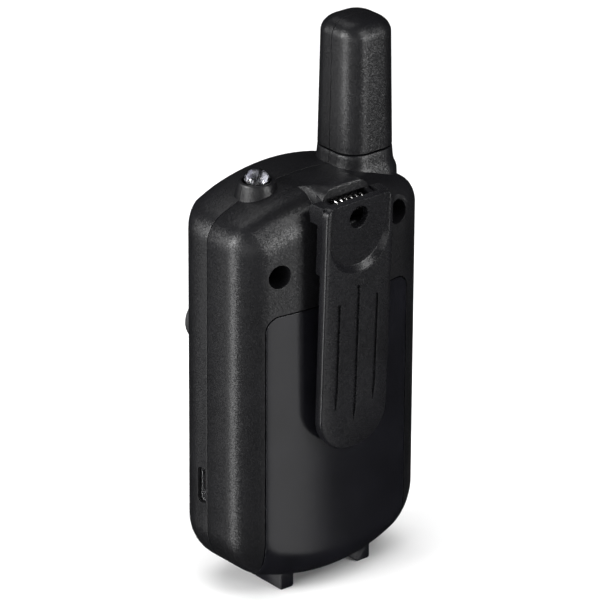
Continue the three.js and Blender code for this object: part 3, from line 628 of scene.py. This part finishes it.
def antenna_cover(side):
    """One half of the antenna's cap: the part of the whole cap that lies in side."""
    half, corner = ANTENNA_HALF, ANTENNA_CORNER - 0.1
    shoulder, shoulder_half = ANTENNA_TOP - ANTENNA_CROWN, ANTENNA_HALF - 0.35
    levels = [
        (ANTENNA_BASE, half - 0.15, corner),
        (ANTENNA_BASE + 0.15, half, ANTENNA_CORNER),
        (shoulder, shoulder_half, corner),
    ]
    for i in range(1, 11):
        a = math.pi / 2 * i / 10.6
        inset = ANTENNA_CROWN * (1 - math.cos(a))
        rounding = max(corner - inset * 0.7, 1.6)
        levels.append((shoulder + 3.45 * math.sin(a), shoulder_half - inset, rounding))
    levels += [(ANTENNA_TOP - 0.05, 2.2, 1.5), (ANTENNA_TOP, 1.2, 1)]
    outside = square_tower(ANTENNA_X, levels)
    neck = square_tower(ANTENNA_X, [(87, 4.6, 2.7), (90.2, 4.6, 2.7)])
    flange = square_tower(ANTENNA_X, [(86.1, 4.9, 3), (87.3, 4.9, 3)])
    inside = square_tower(ANTENNA_X, [(91, 5.1, 3.3), (shoulder, 4.7, 3.2), (ANTENNA_TOP - 1.5, 3.6, 2.4)])
    passage = square_tower(ANTENNA_X, [(85, 3.4, 2), (92, 3.4, 2)])
    return common(cut(join(outside, neck, flange), inside, passage), side)


def torch_lens():
    """Clear body of the torch LED, with a dome on top."""
    radius, foot, dome_foot, dome_height = TORCH_RADIUS, 80.6, 87.6, 2.6
    dome = [(radius * math.cos(a), dome_foot + dome_height * math.sin(a)) for a in quarter_turn(10)[:-1]]
    profile = [(0, foot), (radius, foot), *dome, (0, dome_foot + dome_height)]
    return turned(profile, along_z, (TORCH_X, 0))


def torch_cup():
    """Nine-sided reflector cup that holds the light chip, inside the lens."""
    profile = [(0, 84), (1.3, 84), (2.45, 87.9), (2.25, 87.9), (1.6, 86.6), (1.0, 85.4), (0, 85.4)]
    return turned(profile, along_z, (TORCH_X, 0), 9)


def torch_chip():
    half = 0.45
    return block(TORCH_X - half, TORCH_X + half, -half, half, 85.42, 85.8)


def torch_legs():
    """Two square legs 2.54 mm apart."""
    half = 0.3
    places = (TORCH_X - 1.27, TORCH_X + 1.27)
    return [block(x - half, x + half, -half, half, 74, 80.55) for x in places]


# ---- Belt clip --------------------------------------------------------------------------


def grip(x, z0, z1):
    """Groove with a round top and a tapering lower end, cut into the clip's face."""
    half, taper = 0.5, 3.5
    outline = polygon((x, z0), (x + half, z0 + taper), *arc(x, z1 - half, half, 0, 180),
                      (x - half, z0 + taper))
    return prism(outline, along_y, CLIP_OUTER - 0.5, CLIP_OUTER + 1)


def belt_clip():
    """Clip drawn upright and then leant about its pin."""
    face = rounded_rect(-CLIP_HALF, CLIP_HALF, CLIP_BOTTOM, CLIP_TOP, [8, 8, 1.8, 1.8], 16)
    blade = prism(face, along_y, CLIP_INNER, CLIP_OUTER, 0.4, 4)
    inside = CLIP_INNER + 0.5
    bulge = prism(rounded_rect(-7.8, 7.8, 71, 82.9, 0.8), along_y, 14.6, inside, 0.15)
    arm_outline = polygon((inside, 82.6), (13.5, 82.6), (12.9, 85.3), (13.1, 85.9),
                          (13.6, CLIP_TOP - 0.15), (14.0, CLIP_TOP), (inside, CLIP_TOP))
    arm = prism(arm_outline, along_x, -CLIP_HALF, CLIP_HALF)
    notch = block(-6.3, 6.3, 10, CLIP_INNER - 0.05, 81, 90)
    # Thumb recess: a ramp that deepens downwards and ends in a round lower wall.
    clear, shallow, deep = CLIP_OUTER + 2, CLIP_OUTER - 0.15, CLIP_OUTER - 1.3
    ramp = polygon((clear, 70), (clear, 90), (shallow, 90), (deep, 70))
    thumb = rounded_rect(-7.7, 7.7, 71.1, 94, [7.6, 7.6, 2, 2], 20)
    walls = [(1.5, 10), (1.5, deep), (0.75, CLIP_OUTER - 0.75), (0.1, shallow), (-0.1, 30)]
    bowl = skin([[along_y(x, z, y) for x, z in thumb(inset)] for inset, y in walls])
    recess = common(prism(ramp, along_x, -10, 10), bowl)
    drilled = rod(2.4, along_y, (0, 83), CLIP_INNER - 1, clear, 48)
    grooves = [grip(0, 38, 68.4), grip(-4.9, 41.3, 65.3), grip(4.9, 41.3, 65.3)]
    upright = cut(join(blade, bulge, arm), notch, recess, drilled, *grooves)
    pin = Matrix.Translation((0, PIN_Y, PIN_Z))
    lean = pin @ Matrix.Rotation(math.radians(-CLIP_LEAN), 4, "X") @ pin.inverted()
    bore = rod(PIN_RADIUS + PIN_PLAY, along_x, (PIN_Y, PIN_Z), -PIN_HALF - GAP, PIN_HALF + GAP)
    return cut(transformed(upright, lean), bore)


def clip_pin():
    """Steel pin with eased ends that the clip turns on."""
    tip = [(PIN_RADIUS - 0.2, 0), (PIN_RADIUS, 0.2)]
    profile = [(0, -PIN_HALF), *[(r, t - PIN_HALF) for r, t in tip],
               *[(r, PIN_HALF - t) for r, t in reversed(tip)], (0, PIN_HALF)]
    return turned(profile, along_x, (PIN_Y, PIN_Z), 32)


def clip_spring():
    """Torsion spring on the pin; one leg bears on the lug, the other on the clip."""
    radius, half_length, turns = 1.5, 3.6, 5.5
    about_z = coil_points(radius, radius, -half_length, half_length, turns)
    coil = [Vector((z, PIN_Y + x, PIN_Z + y)) for x, y, z in about_z]
    coil.insert(0, coil[0] + Vector((0, -0.3, -1.8)))
    coil.append(coil[-1] + Vector((0, 0.9, -3.8)))
    return wire(coil, 0.25, 240)


# ---- Keys, talk button and display ------------------------------------------------------


def key_bar(z, extra):
    """Outline of a bar key at height z, moved outwards by extra."""
    return rounded_rect(-5.5 - extra, 5.5 + extra, z - 2.5 - extra, z + 2.5 + extra, 2 + extra)


def round_key(x):
    """Round key with a dished top and a flange behind the shell, cut straight beside the case wall."""
    radius = KEY_RADIUS
    dished = [(2.2, KEY_TOP + 0.16), (3.6, KEY_TOP + 0.04), (4.1, KEY_TOP), (4.5, KEY_TOP + 0.12)]
    side = [(4.8, KEY_TOP + 0.4), (4.97, KEY_TOP + 0.8), (radius, KEY_TOP + 1.2), (radius, FLANGE_BACK)]
    cap = turned([(0, KEY_TOP + 0.25), *dished, *side, (0, FLANGE_BACK)], along_y, (x, KEY_ROW_Z), 64)
    flange = rod(6.2, along_y, (x, KEY_ROW_Z), FLANGE_FRONT, FLANGE_BACK)
    return join(cap, common(flange, block(-19.4, 19.4, -9, -6, 40, 70)))


def bar_key(z, point):
    """Bar key with a sunk arrowhead that points up (1) or down (-1)."""
    cap = prism(key_bar(z, 0), along_y, KEY_TOP, FLANGE_BACK, 0.5, 4)
    flange = prism(key_bar(z, 0.8), along_y, FLANGE_FRONT, FLANGE_BACK)
    tip, foot = z + 0.9 * point, z - 0.7 * point
    arrow = prism(polygon((-1.3, foot), (1.3, foot), (0, tip)), along_y, KEY_TOP - 1, KEY_TOP + 0.15)
    return cut(join(cap, flange), arrow)


def talk_button():
    """Long side key with three grip ridges and a flange inside the case."""
    width, height = TALK_HALF_WIDTH, TALK_HALF_HEIGHT
    top = rounded_rect(-width, width, TALK_Z - height, TALK_Z + height, 2.6)
    cap = prism(top, along_x, -25.2, -21.2, 0.5, 4)
    rim = rounded_rect(-width - 1, width + 1, TALK_Z - height - 1.1, TALK_Z + height + 1.1, 1)
    flange = prism(rim, along_x, -21.9, -21.2)
    ridges = [prism(rounded_rect(-1.8, 1.8, z - 0.4, z + 0.4, 0.38), along_x, -25.5, -25, 0.15)
              for z in (TALK_Z - 3, TALK_Z, TALK_Z + 3)]
    return join(cap, flange, *ridges)


def display_window():
    half = WINDOW_SEAT_HALF - GAP
    outline = rounded_rect(-half, half, WINDOW_SEAT_LOW + GAP, WINDOW_SEAT_HIGH - GAP, 2 - GAP)
    return prism(outline, along_y, -10, WINDOW_SEAT_BACK - GAP, 0.2)


def usb_socket():
    """Steel sleeve behind the inlet, with the contact tongue inside."""
    play, wall = 0.2, 0.25
    front, rear, low, high = USB_FRONT + play, USB_REAR - play, USB_LOW + wall, USB_HIGH - wall
    sleeve = rounded_rect(front, rear, low, high, [0.7, 0.2, 0.2, 0.7])
    mouth = rounded_rect(front + wall, rear - wall, low + wall, high - wall, [0.55, 0.1, 0.1, 0.55])
    hollow = cut(prism(sleeve, along_x, 19.8, 23.2), prism(mouth, along_x, 20.4, 24))
    return join(hollow, block(20.2, 22.6, -2.1, -1.6, 21.8, 25.7))


# ---- Cells and screws -------------------------------------------------------------------

CELL_LOW = BAY_FLOOR + 0.9
CELL_HIGH = CELL_LOW + 5.8
SPRING_TOP = CELL_HIGH + CELL_LENGTH + 0.1


def cell(x, z0, nub_up):
    """AAA cell that stands on z0 with its nub up or down."""
    end = CELL_LENGTH
    foot = [(0, 0), (4.7, 0), (4.9, 0.08), (5.12, 0.25), (CELL_RADIUS, 0.5)]
    shoulder = [(CELL_RADIUS, end - 1.6), (5.1, end - 1.3), (4.85, end - 1.05), (4.6, end - 1)]
    nub = [(1.9, end - 1), (1.9, end - 0.2), (1.7, end), (0, end)]
    profile = foot + shoulder + nub
    placed = [(r, z0 + h if nub_up else z0 + end - h) for r, h in profile]
    return turned(placed, along_z, (x, CELL_Y), 64)


def cell_spring(x, wide, narrow):
    """Conical spring at one end of a cell; wide and narrow are the heights of its two ends."""
    spring = wire(coil_points(3.1, 2.2, wide, narrow, 3.5), 0.28, 120)
    return transformed(spring, Matrix.Translation((x, CELL_Y, 0)))


def case_screw(spot, head_back, head_radius, head_height):
    """Screw along y with a cross recess in its head; the shank is plain."""
    seat = head_back - head_height
    shank = 0.9
    profile = [(0, SCREW_TIP), (shank, SCREW_TIP + 0.6), (shank, seat), (head_radius, seat),
               (head_radius, head_back - 0.35), (head_radius - 0.2, head_back - 0.1),
               (head_radius - 0.5, head_back), (0, head_back)]
    x, z = spot
    drive = [block(x - dx, x + dx, head_back - 0.6, head_back + 1, z - dz, z + dz)
             for dx, dz in ((1.2, 0.25), (0.25, 1.2))]
    return cut(turned(profile, along_y, spot, 32), *drive)


# ---- Materials --------------------------------------------------------------------------


class Material:
    """A principled material with short helpers for its node tree."""

    def __init__(self, name):
        self.material = bpy.data.materials.new(name)
        self.material.use_nodes = True
        self.tree = self.material.node_tree
        self.shader = self.tree.nodes["Principled BSDF"]
        self.coords = self.node("ShaderNodeTexCoord").outputs["Object"]

    def node(self, kind, inputs=None, **settings):
        """New node with its settings; inputs holds a socket or a constant for each input."""
        made = self.tree.nodes.new(kind)
        for key, value in settings.items():
            setattr(made, key, value)
        for key, value in (inputs or {}).items():
            if isinstance(value, bpy.types.NodeSocket):
                self.tree.links.new(value, made.inputs[key])
            else:
                made.inputs[key].default_value = value
        return made

    def noise(self, size, detail=2.0, coords=None):
        """Noise whose features are about size millimetres across."""
        inputs = {"Vector": coords or self.coords, "Scale": 1 / (size * MM), "Detail": detail}
        return self.node("ShaderNodeTexNoise", inputs).outputs["Fac"]

    def cells(self, size, output):
        """Distance or Color of cells that are about size millimetres across."""
        inputs = {"Vector": self.coords, "Scale": 1 / (size * MM)}
        return self.node("ShaderNodeTexVoronoi", inputs).outputs[output]

    def remap(self, value, low, high, to_low, to_high):
        """Value moved from the range low to high into the range to_low to to_high, and kept there."""
        inputs = {0: value, 1: low, 2: high, 3: to_low, 4: to_high}
        return self.node("ShaderNodeMapRange", inputs).outputs[0]

    def combine(self, operation, a, b):
        """Result of one arithmetic operation on two values."""
        return self.node("ShaderNodeMath", {0: a, 1: b}, operation=operation).outputs[0]

    def mix(self, factor, a, b):
        """Blend of two colours, given as RGB values or as sockets."""
        made = self.node("ShaderNodeMix", data_type="RGBA")
        for key, value in (("Factor", factor), ("A", a), ("B", b)):
            socket = made.inputs[key]
            if isinstance(value, bpy.types.NodeSocket):
                self.tree.links.new(value, socket)
            elif isinstance(value, (list, tuple)):
                socket = [s for s in made.inputs if s.name == socket.name and s.type == "RGBA"][0]
                socket.default_value = (*value, 1)
            else:
                socket.default_value = value
        return [s for s in made.outputs if s.type == "RGBA"][0]

    def put(self, socket, value):
        """Link a socket to a shader input, or set a constant there."""
        if isinstance(value, bpy.types.NodeSocket):
            self.tree.links.new(value, self.shader.inputs[socket])
        else:
            self.shader.inputs[socket].default_value = value


def rounded_normal(look, edge):
    """Normal that rounds sharp edges by edge millimetres."""
    return look.node("ShaderNodeBevel", {"Radius": edge * MM}, samples=4).outputs["Normal"]


def edge_mask(look, normal):
    """1 on sharp edges, fading to 0 on smooth surface."""
    plain = look.node("ShaderNodeNewGeometry").outputs["Normal"]
    compared = look.node("ShaderNodeVectorMath", {0: normal, 1: plain}, operation="DOT_PRODUCT")
    smooth, sharp = 0.97, 0.8
    return look.remap(compared.outputs["Value"], smooth, sharp, 0.0, 1.0)


def faceted_normal(look, normal, grain, tilt):
    """Normal tipped a little differently in each small cell, as on a spark-eroded mould surface."""
    middle = (0.5, 0.5, 0.5)
    colour = look.cells(grain, "Color")
    centred = look.node("ShaderNodeVectorMath", {0: colour, 1: middle}, operation="SUBTRACT")
    tipped = look.node("ShaderNodeVectorMath", {0: centred.outputs[0], "Scale": tilt}, operation="SCALE")
    summed = look.node("ShaderNodeVectorMath", {0: normal, 1: tipped.outputs[0]}, operation="ADD")
    return look.node("ShaderNodeVectorMath", {0: summed.outputs[0]}, operation="NORMALIZE").outputs[0]


def grained_plastic(name, colour, roughness, grain, depth, edge=0.12, wear=0.5, tilt=0.2):
    """Moulded plastic with a spark-eroded grain; grain, depth and edge are in millimetres."""
    cloud_size, smudge_size, wear_size = 9.0, 16.0, 1.2
    look = Material(name)
    rounded = rounded_normal(look, edge)
    fine = look.noise(grain, 3.0)
    bump = look.node("ShaderNodeBump", {"Height": fine, "Distance": depth * MM, "Normal": rounded})
    look.put("Normal", faceted_normal(look, bump.outputs["Normal"], grain, tilt))

    dark = [c * 0.78 for c in colour]
    light = [c * 1.3 for c in colour]
    worn = [min(c * 4 + 0.02, 1) for c in colour]
    clouds = look.remap(look.noise(cloud_size, 4.0), 0.3, 0.7, 0.0, 1.0)
    body = look.mix(clouds, dark, light)
    patches = look.remap(look.noise(wear_size), 0.35, 0.7, 0.0, wear)
    worn_edges = look.combine("MULTIPLY", edge_mask(look, rounded), patches)
    look.put("Base Color", look.mix(worn_edges, body, worn))

    smudges = look.remap(look.noise(smudge_size, 5.0), 0.3, 0.7, -0.015, 0.015)
    glints = look.remap(fine, 0.4, 0.65, tilt / 8, -tilt / 8)
    look.put("Roughness", look.combine("ADD", look.combine("ADD", smudges, glints), roughness))
    return look.material


def brushed_metal(name, colour, roughness):
    """Metal with fine upright scratches and patches of tarnish."""
    scratch_size, tarnish_size, edge = 0.25, 3.0, 0.08
    look = Material(name)
    look.put("Metallic", 1.0)
    stretched = look.node("ShaderNodeMapping", {"Vector": look.coords, "Scale": (1, 1, 0.15)}).outputs[0]
    scratches = look.noise(scratch_size, 4.0, stretched)
    tarnish = look.remap(look.noise(tarnish_size, 4.0), 0.35, 0.7, 0, 1)
    look.put("Base Color", look.mix(tarnish, colour, [c * 0.72 for c in colour]))
    look.put("Roughness", look.remap(scratches, 0.3, 0.7, roughness - 0.08, roughness + 0.12))
    bump = look.node("ShaderNodeBump", {"Height": scratches, "Distance": 0.004 * MM,
                                        "Normal": rounded_normal(look, edge)})
    look.put("Normal", bump.outputs["Normal"])
    return look.material


def clear_plastic(name, tint, roughness):
    """Clear plastic with a slightly uneven surface."""
    look = Material(name)
    look.put("Base Color", (*tint, 1))
    look.put("Transmission Weight", 1.0)
    look.put("IOR", 1.49)
    look.put("Roughness", look.remap(look.noise(1.5, 3.0), 0.3, 0.7, roughness, roughness + 0.05))
    ripple = look.node("ShaderNodeBump", {"Height": look.noise(2.5), "Distance": 0.01 * MM})
    look.put("Normal", ripple.outputs["Normal"])
    return look.material


def circuit_board():
    """Green solder mask over faint copper tracks, with scattered solder pads."""
    bricks_per_metre = 900
    pad_spacing = 2.2
    solder = (0.6, 0.58, 0.5)
    look = Material("circuit_board_green")
    upright = look.node("ShaderNodeMapping", {
        "Vector": look.coords, "Rotation": (math.pi / 2, 0, 0), "Scale": (bricks_per_metre,) * 3,
    })
    tracks = look.node("ShaderNodeTexBrick", {
        "Vector": upright.outputs[0], "Scale": 1.0, "Mortar Size": 0.06, "Mortar": (0.03, 0.2, 0.08, 1),
        "Color1": (0.012, 0.09, 0.035, 1), "Color2": (0.016, 0.12, 0.045, 1),
    })
    pads = look.remap(look.cells(pad_spacing, "Distance"), 0.12, 0.16, 1.0, 0.0)
    look.put("Base Color", look.mix(pads, tracks.outputs["Color"], solder))
    look.put("Metallic", pads)
    look.put("Roughness", look.remap(look.noise(2.0), 0.3, 0.7, 0.28, 0.45))
    bump = look.node("ShaderNodeBump", {"Height": tracks.outputs["Fac"], "Distance": 0.03 * MM})
    look.put("Normal", bump.outputs["Normal"])
    return look.material


def liquid_crystal():
    """Unlit display: grey-green glass with the faint grid of its pixels."""
    pixel = 0.45
    shaded = (0.075, 0.1, 0.07)
    look = Material("display_grey_green")
    grid = look.node("ShaderNodeTexChecker", {
        "Vector": look.coords, "Scale": 1 / (pixel * MM),
        "Color1": (0.10, 0.125, 0.085, 1), "Color2": (0.115, 0.14, 0.095, 1),
    })
    shading = look.remap(look.noise(8.0), 0.3, 0.7, 0.0, 0.35)
    look.put("Base Color", look.mix(shading, grid.outputs["Color"], shaded))
    look.put("Roughness", look.remap(look.noise(5.0), 0.3, 0.7, 0.16, 0.26))
    return look.material


def cell_sleeve():
    """Printed sleeve: a dark blue body with one silver band and bare steel ends."""
    low, high = 9 * MM, 61 * MM
    steel = (0.55, 0.55, 0.57, 1)
    blue = (0.015, 0.05, 0.14, 1)
    silver = (0.5, 0.51, 0.54, 1)
    scuffed = (0.3, 0.31, 0.33)
    look = Material("cell_sleeve_print")
    height = look.node("ShaderNodeSeparateXYZ", {"Vector": look.coords}).outputs["Z"]
    print_colour = look.node("ShaderNodeValToRGB", {"Fac": look.remap(height, low, high, 0.0, 1.0)})
    ramp = print_colour.color_ramp
    ramp.interpolation = "CONSTANT"
    ramp.elements[0].color = steel
    ramp.elements[1].position = 0.92
    ramp.elements[1].color = steel
    for position, colour in ((0.14, blue), (0.7, silver), (0.74, blue)):
        ramp.elements.new(position).color = colour
    scuffs = look.remap(look.noise(1.2, 5.0), 0.55, 0.75, 0.0, 0.4)
    look.put("Base Color", look.mix(scuffs, print_colour.outputs["Color"], scuffed))
    look.put("Metallic", 0.8)
    look.put("Roughness", look.remap(look.noise(4.0, 4.0), 0.3, 0.7, 0.26, 0.42))
    bump = look.node("ShaderNodeBump", {"Height": look.noise(0.6), "Distance": 0.01 * MM})
    look.put("Normal", bump.outputs["Normal"])
    return look.material


def chip_material():
    """Yellow phosphor of the torch's light chip, unlit."""
    deep, pale = (0.9, 0.75, 0.2), (0.95, 0.85, 0.4)
    look = Material("light_chip")
    look.put("Base Color", look.mix(look.remap(look.noise(0.2), 0.4, 0.6, 0.0, 1.0), deep, pale))
    look.put("Roughness", 0.3)
    return look.material


CASE_BLACK = (0.0045, 0.0045, 0.0053)
SHELL = grained_plastic("shell_black_grain", CASE_BLACK, 0.36, 0.15, 0.004, tilt=0.24)
ANTENNA = grained_plastic("antenna_black_grain", CASE_BLACK, 0.36, 0.15, 0.004, tilt=0.24)
DOOR = grained_plastic("door_black_smooth", (0.0045, 0.0045, 0.006), 0.22, 0.14, 0.003, tilt=0.04)
CLIP = grained_plastic("clip_black_fine", (0.0055, 0.0055, 0.0065), 0.27, 0.17, 0.003, edge=0.2, tilt=0.13)
RUBBER = grained_plastic("key_rubber", (0.02, 0.02, 0.021), 0.55, 0.2, 0.02, edge=0.15, wear=0.3, tilt=0.1)
MAT = grained_plastic("mat_silicone", (0.05, 0.05, 0.052), 0.5, 0.3, 0.02, tilt=0.08)
MOULDING = grained_plastic("inner_black_moulding", (0.012, 0.012, 0.013), 0.38, 0.25, 0.02, tilt=0.12)
STEEL = brushed_metal("nickel_steel", (0.56, 0.56, 0.57), 0.26)
SCREW = brushed_metal("black_zinc_steel", (0.04, 0.04, 0.045), 0.45)
REFLECTOR = brushed_metal("reflector_grey", (0.22, 0.22, 0.24), 0.2)
SPRING = brushed_metal("spring_steel", (0.62, 0.61, 0.6), 0.2)
COPPER = brushed_metal("copper_wire_bright", (0.72, 0.36, 0.2), 0.28)
LENS = clear_plastic("torch_lens_clear", (0.97, 0.98, 1.0), 0.02)
WINDOW = clear_plastic("display_window_clear", (0.93, 0.95, 0.96), 0.03)
BOARD = circuit_board()
DISPLAY = liquid_crystal()
SLEEVE = cell_sleeve()
CHIP = chip_material()

# ---- Pieces -----------------------------------------------------------------------------

SMOOTH_ANGLE = math.radians(32)


def piece(name, shape, material, body="case", replaced=()):
    """Place a finished solid in the row frame as a visible piece on a CAD body."""
    shape.name = name
    shape.data.name = name
    shape.data.transform(TO_ROW)
    shape.data.materials.clear()
    shape.data.materials.append(material)
    shape.data.shade_smooth()
    shape.data.set_sharp_from_angle(angle=SMOOTH_ANGLE)
    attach(shape, body)
    if replaced:
        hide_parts(*replaced)


def stands_for(node, shape, material, body="case"):
    """Visible piece that replaces one CAD node."""
    piece(f"{node}_fine", shape, material, body, [node])


stands_for("front_shell", front_shell(), SHELL)
stands_for("rear_shell", rear_shell(), SHELL)
stands_for("battery_door", battery_door(), DOOR, "door")
stands_for("antenna_front_cover", antenna_cover(in_front()), ANTENNA)
stands_for("antenna_rear_cover", antenna_cover(behind()), ANTENNA)

stands_for("torch_led", torch_lens(), LENS)
piece("torch_cup", torch_cup(), REFLECTOR)
piece("torch_chip", torch_chip(), CHIP)
for side, leg in zip(("a", "b"), torch_legs()):
    piece(f"torch_leg_{side}", leg, STEEL)

stands_for("belt_clip", belt_clip(), CLIP, "clip")
stands_for("clip_pin", clip_pin(), STEEL)
stands_for("clip_spring", clip_spring(), SPRING)

stands_for("key_menu", round_key(-KEY_SIDE_X), RUBBER, "menu")
stands_for("key_light", round_key(KEY_SIDE_X), RUBBER, "light")
stands_for("key_up", bar_key(KEY_UP_Z, 1), RUBBER, "up")
stands_for("key_down", bar_key(KEY_DOWN_Z, -1), RUBBER, "down")
stands_for("talk_button", talk_button(), RUBBER, "talk")
stands_for("display_window", display_window(), WINDOW)
stands_for("usb_socket", usb_socket(), STEEL)

# The outer cells stand on their springs with the nub up; the middle one is the other way round.
CELL_SPOTS = [(-CELL_PITCH, True), (0, False), (CELL_PITCH, True)]
for i, (x, nub_up) in enumerate(CELL_SPOTS, start=1):
    z0 = CELL_HIGH if nub_up else CELL_LOW
    stands_for(f"cell_{i}", cell(x, z0, nub_up), SLEEVE)
for i, (x, nub_up) in enumerate(CELL_SPOTS, start=1):
    wide = CELL_LOW + 0.1 if nub_up else SPRING_TOP - 0.1
    narrow = CELL_HIGH - 0.5 if nub_up else CELL_LOW + CELL_LENGTH + 0.5
    stands_for(f"cell_spring_{i}", cell_spring(x, wide, narrow), SPRING)
for i, spot in enumerate(UPPER_SCREWS, start=1):
    screw = case_screw(spot, head_back=8, head_radius=2, head_height=1.7)
    stands_for(f"case_screw_{i}", screw, SCREW)
for i, spot in enumerate(LOWER_SCREWS, start=3):
    screw = case_screw(spot, head_back=1.25, head_radius=1.7, head_height=0.95)
    stands_for(f"case_screw_{i}", screw, SCREW)

# Pieces inside the case keep their CAD form and get a finish.
INNER_FINISH = {
    "antenna_core": MOULDING, "antenna_coil": COPPER, "keypad_mat": MAT, "display_module": DISPLAY,
    "main_board": BOARD, "shield_can": STEEL, "controller_chip": MOULDING, "loudspeaker": STEEL,
    "microphone": STEEL, "switch_menu": MOULDING, "switch_light": MOULDING, "switch_up": MOULDING,
    "switch_down": MOULDING, "switch_talk": MOULDING, "contact_low_single": STEEL,
    "contact_low_bridge": STEEL, "contact_high_bridge": STEEL, "contact_high_single": STEEL,
}
for name, material in INNER_FINISH.items():
    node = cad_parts[name]
    node.material_slots[0].material = material
    node.data.shade_smooth()
    node.data.set_sharp_from_angle(angle=SMOOTH_ANGLE)

# ---- Floor, lights and camera, in metres ------------------------------------------------

VIEW_AZIMUTH = 139.98
VIEW_ELEVATION = 24.22
VIEW_ROLL = 0.4
VIEW_DISTANCE = 0.9838
VIEW_LENS = 293.4
VIEW_SHIFT = (-0.0277, 0.0071)
VIEW_TARGET = Vector((0, 0.8, 59)) * MM

LIGHT_DISTANCE = 0.9
# name, azimuth, elevation, width, height and power of each soft light
SOFT_LIGHTS = [
    ("side_low", 58, -20, 0.4, 0.5, 0.6),
    ("key_low", 92, -20, 0.3, 0.5, 3.4),
    ("side", 48, 12, 0.3, 0.4, 1.2),
    ("key", 78, 22, 0.34, 0.36, 7.0),
    ("key_rear", 104, 16, 0.3, 0.4, 1.6),
    ("middle", 140, 2, 0.5, 0.5, 0.8),
    ("rear", 200, 8, 0.3, 0.4, 4.5),
    ("rear_low", 200, -20, 0.32, 0.5, 0.6),
    ("rear_upper", 195, 42, 0.4, 0.34, 2.0),
    ("front", 0, 62, 0.4, 0.4, 0.8),
]


def floor():
    size, thickness = 6.0, 0.02
    plane = block(-size, size, -size, size, -thickness, 0)
    plane.name = "floor"
    look = Material("floor_pale")
    look.put("Base Color", look.mix(look.noise(400.0), (0.9, 0.9, 0.9), (0.93, 0.93, 0.93)))
    look.put("Roughness", 0.9)
    look.put("Specular IOR Level", 0.1)
    plane.data.materials.append(look.material)
    # Lit like a translucent product table: it is neither mirrored in the plastic nor in the lights' way.
    plane.visible_glossy = False
    plane.visible_shadow = False


def direction(azimuth, elevation):
    """Unit vector away from the radio; azimuth 0 is in front of it and 90 on its torch side."""
    a = math.radians(azimuth)
    e = math.radians(elevation)
    return Vector((math.sin(a) * math.cos(e), -math.cos(a) * math.cos(e), math.sin(e)))


def soft_light(name, azimuth, elevation, distance, width, height, power, glossy=True):
    """Rectangular soft light that faces the middle of the radio."""
    data = bpy.data.lights.new(name, "AREA")
    data.shape = "RECTANGLE"
    data.size = width
    data.size_y = height
    data.energy = power
    light = bpy.data.objects.new(name, data)
    bpy.context.scene.collection.objects.link(light)
    away = direction(azimuth, elevation)
    light.location = VIEW_TARGET + away * distance
    light.rotation_euler = (-away).to_track_quat("-Z", "Y").to_euler()
    light.visible_glossy = glossy
    light.visible_camera = False


def camera():
    """Long lens that looks down on the radio from behind and from its torch side."""
    data = bpy.data.cameras.new("camera")
    data.lens = VIEW_LENS
    data.shift_x, data.shift_y = VIEW_SHIFT
    data.clip_start, data.clip_end = 0.01, 50
    made = bpy.data.objects.new("camera", data)
    bpy.context.scene.collection.objects.link(made)
    back = direction(VIEW_AZIMUTH, VIEW_ELEVATION)
    upright = (-back).to_track_quat("-Z", "Y").to_matrix().to_4x4()
    roll = Matrix.Rotation(math.radians(VIEW_ROLL), 4, "Z")
    made.matrix_world = Matrix.Translation(VIEW_TARGET + back * VIEW_DISTANCE) @ upright @ roll
    bpy.context.scene.camera = made


def faint_world():
    """White world that is only just bright enough to keep shadows from going fully black."""
    world = bpy.data.worlds.new("studio")
    world.use_nodes = True
    background = world.node_tree.nodes["Background"]
    background.inputs["Color"].default_value = (1, 1, 1, 1)
    background.inputs["Strength"].default_value = 0.01
    bpy.context.scene.world = world


floor()
for name, azimuth, elevation, width, height, power in SOFT_LIGHTS:
    soft_light(name, azimuth, elevation, LIGHT_DISTANCE, width, height, power)
soft_light("overhead", 140, 86, distance=1.2, width=1.6, height=1.6, power=22, glossy=False)
faint_world()
bpy.context.scene.view_settings.view_transform = "Standard"
camera()
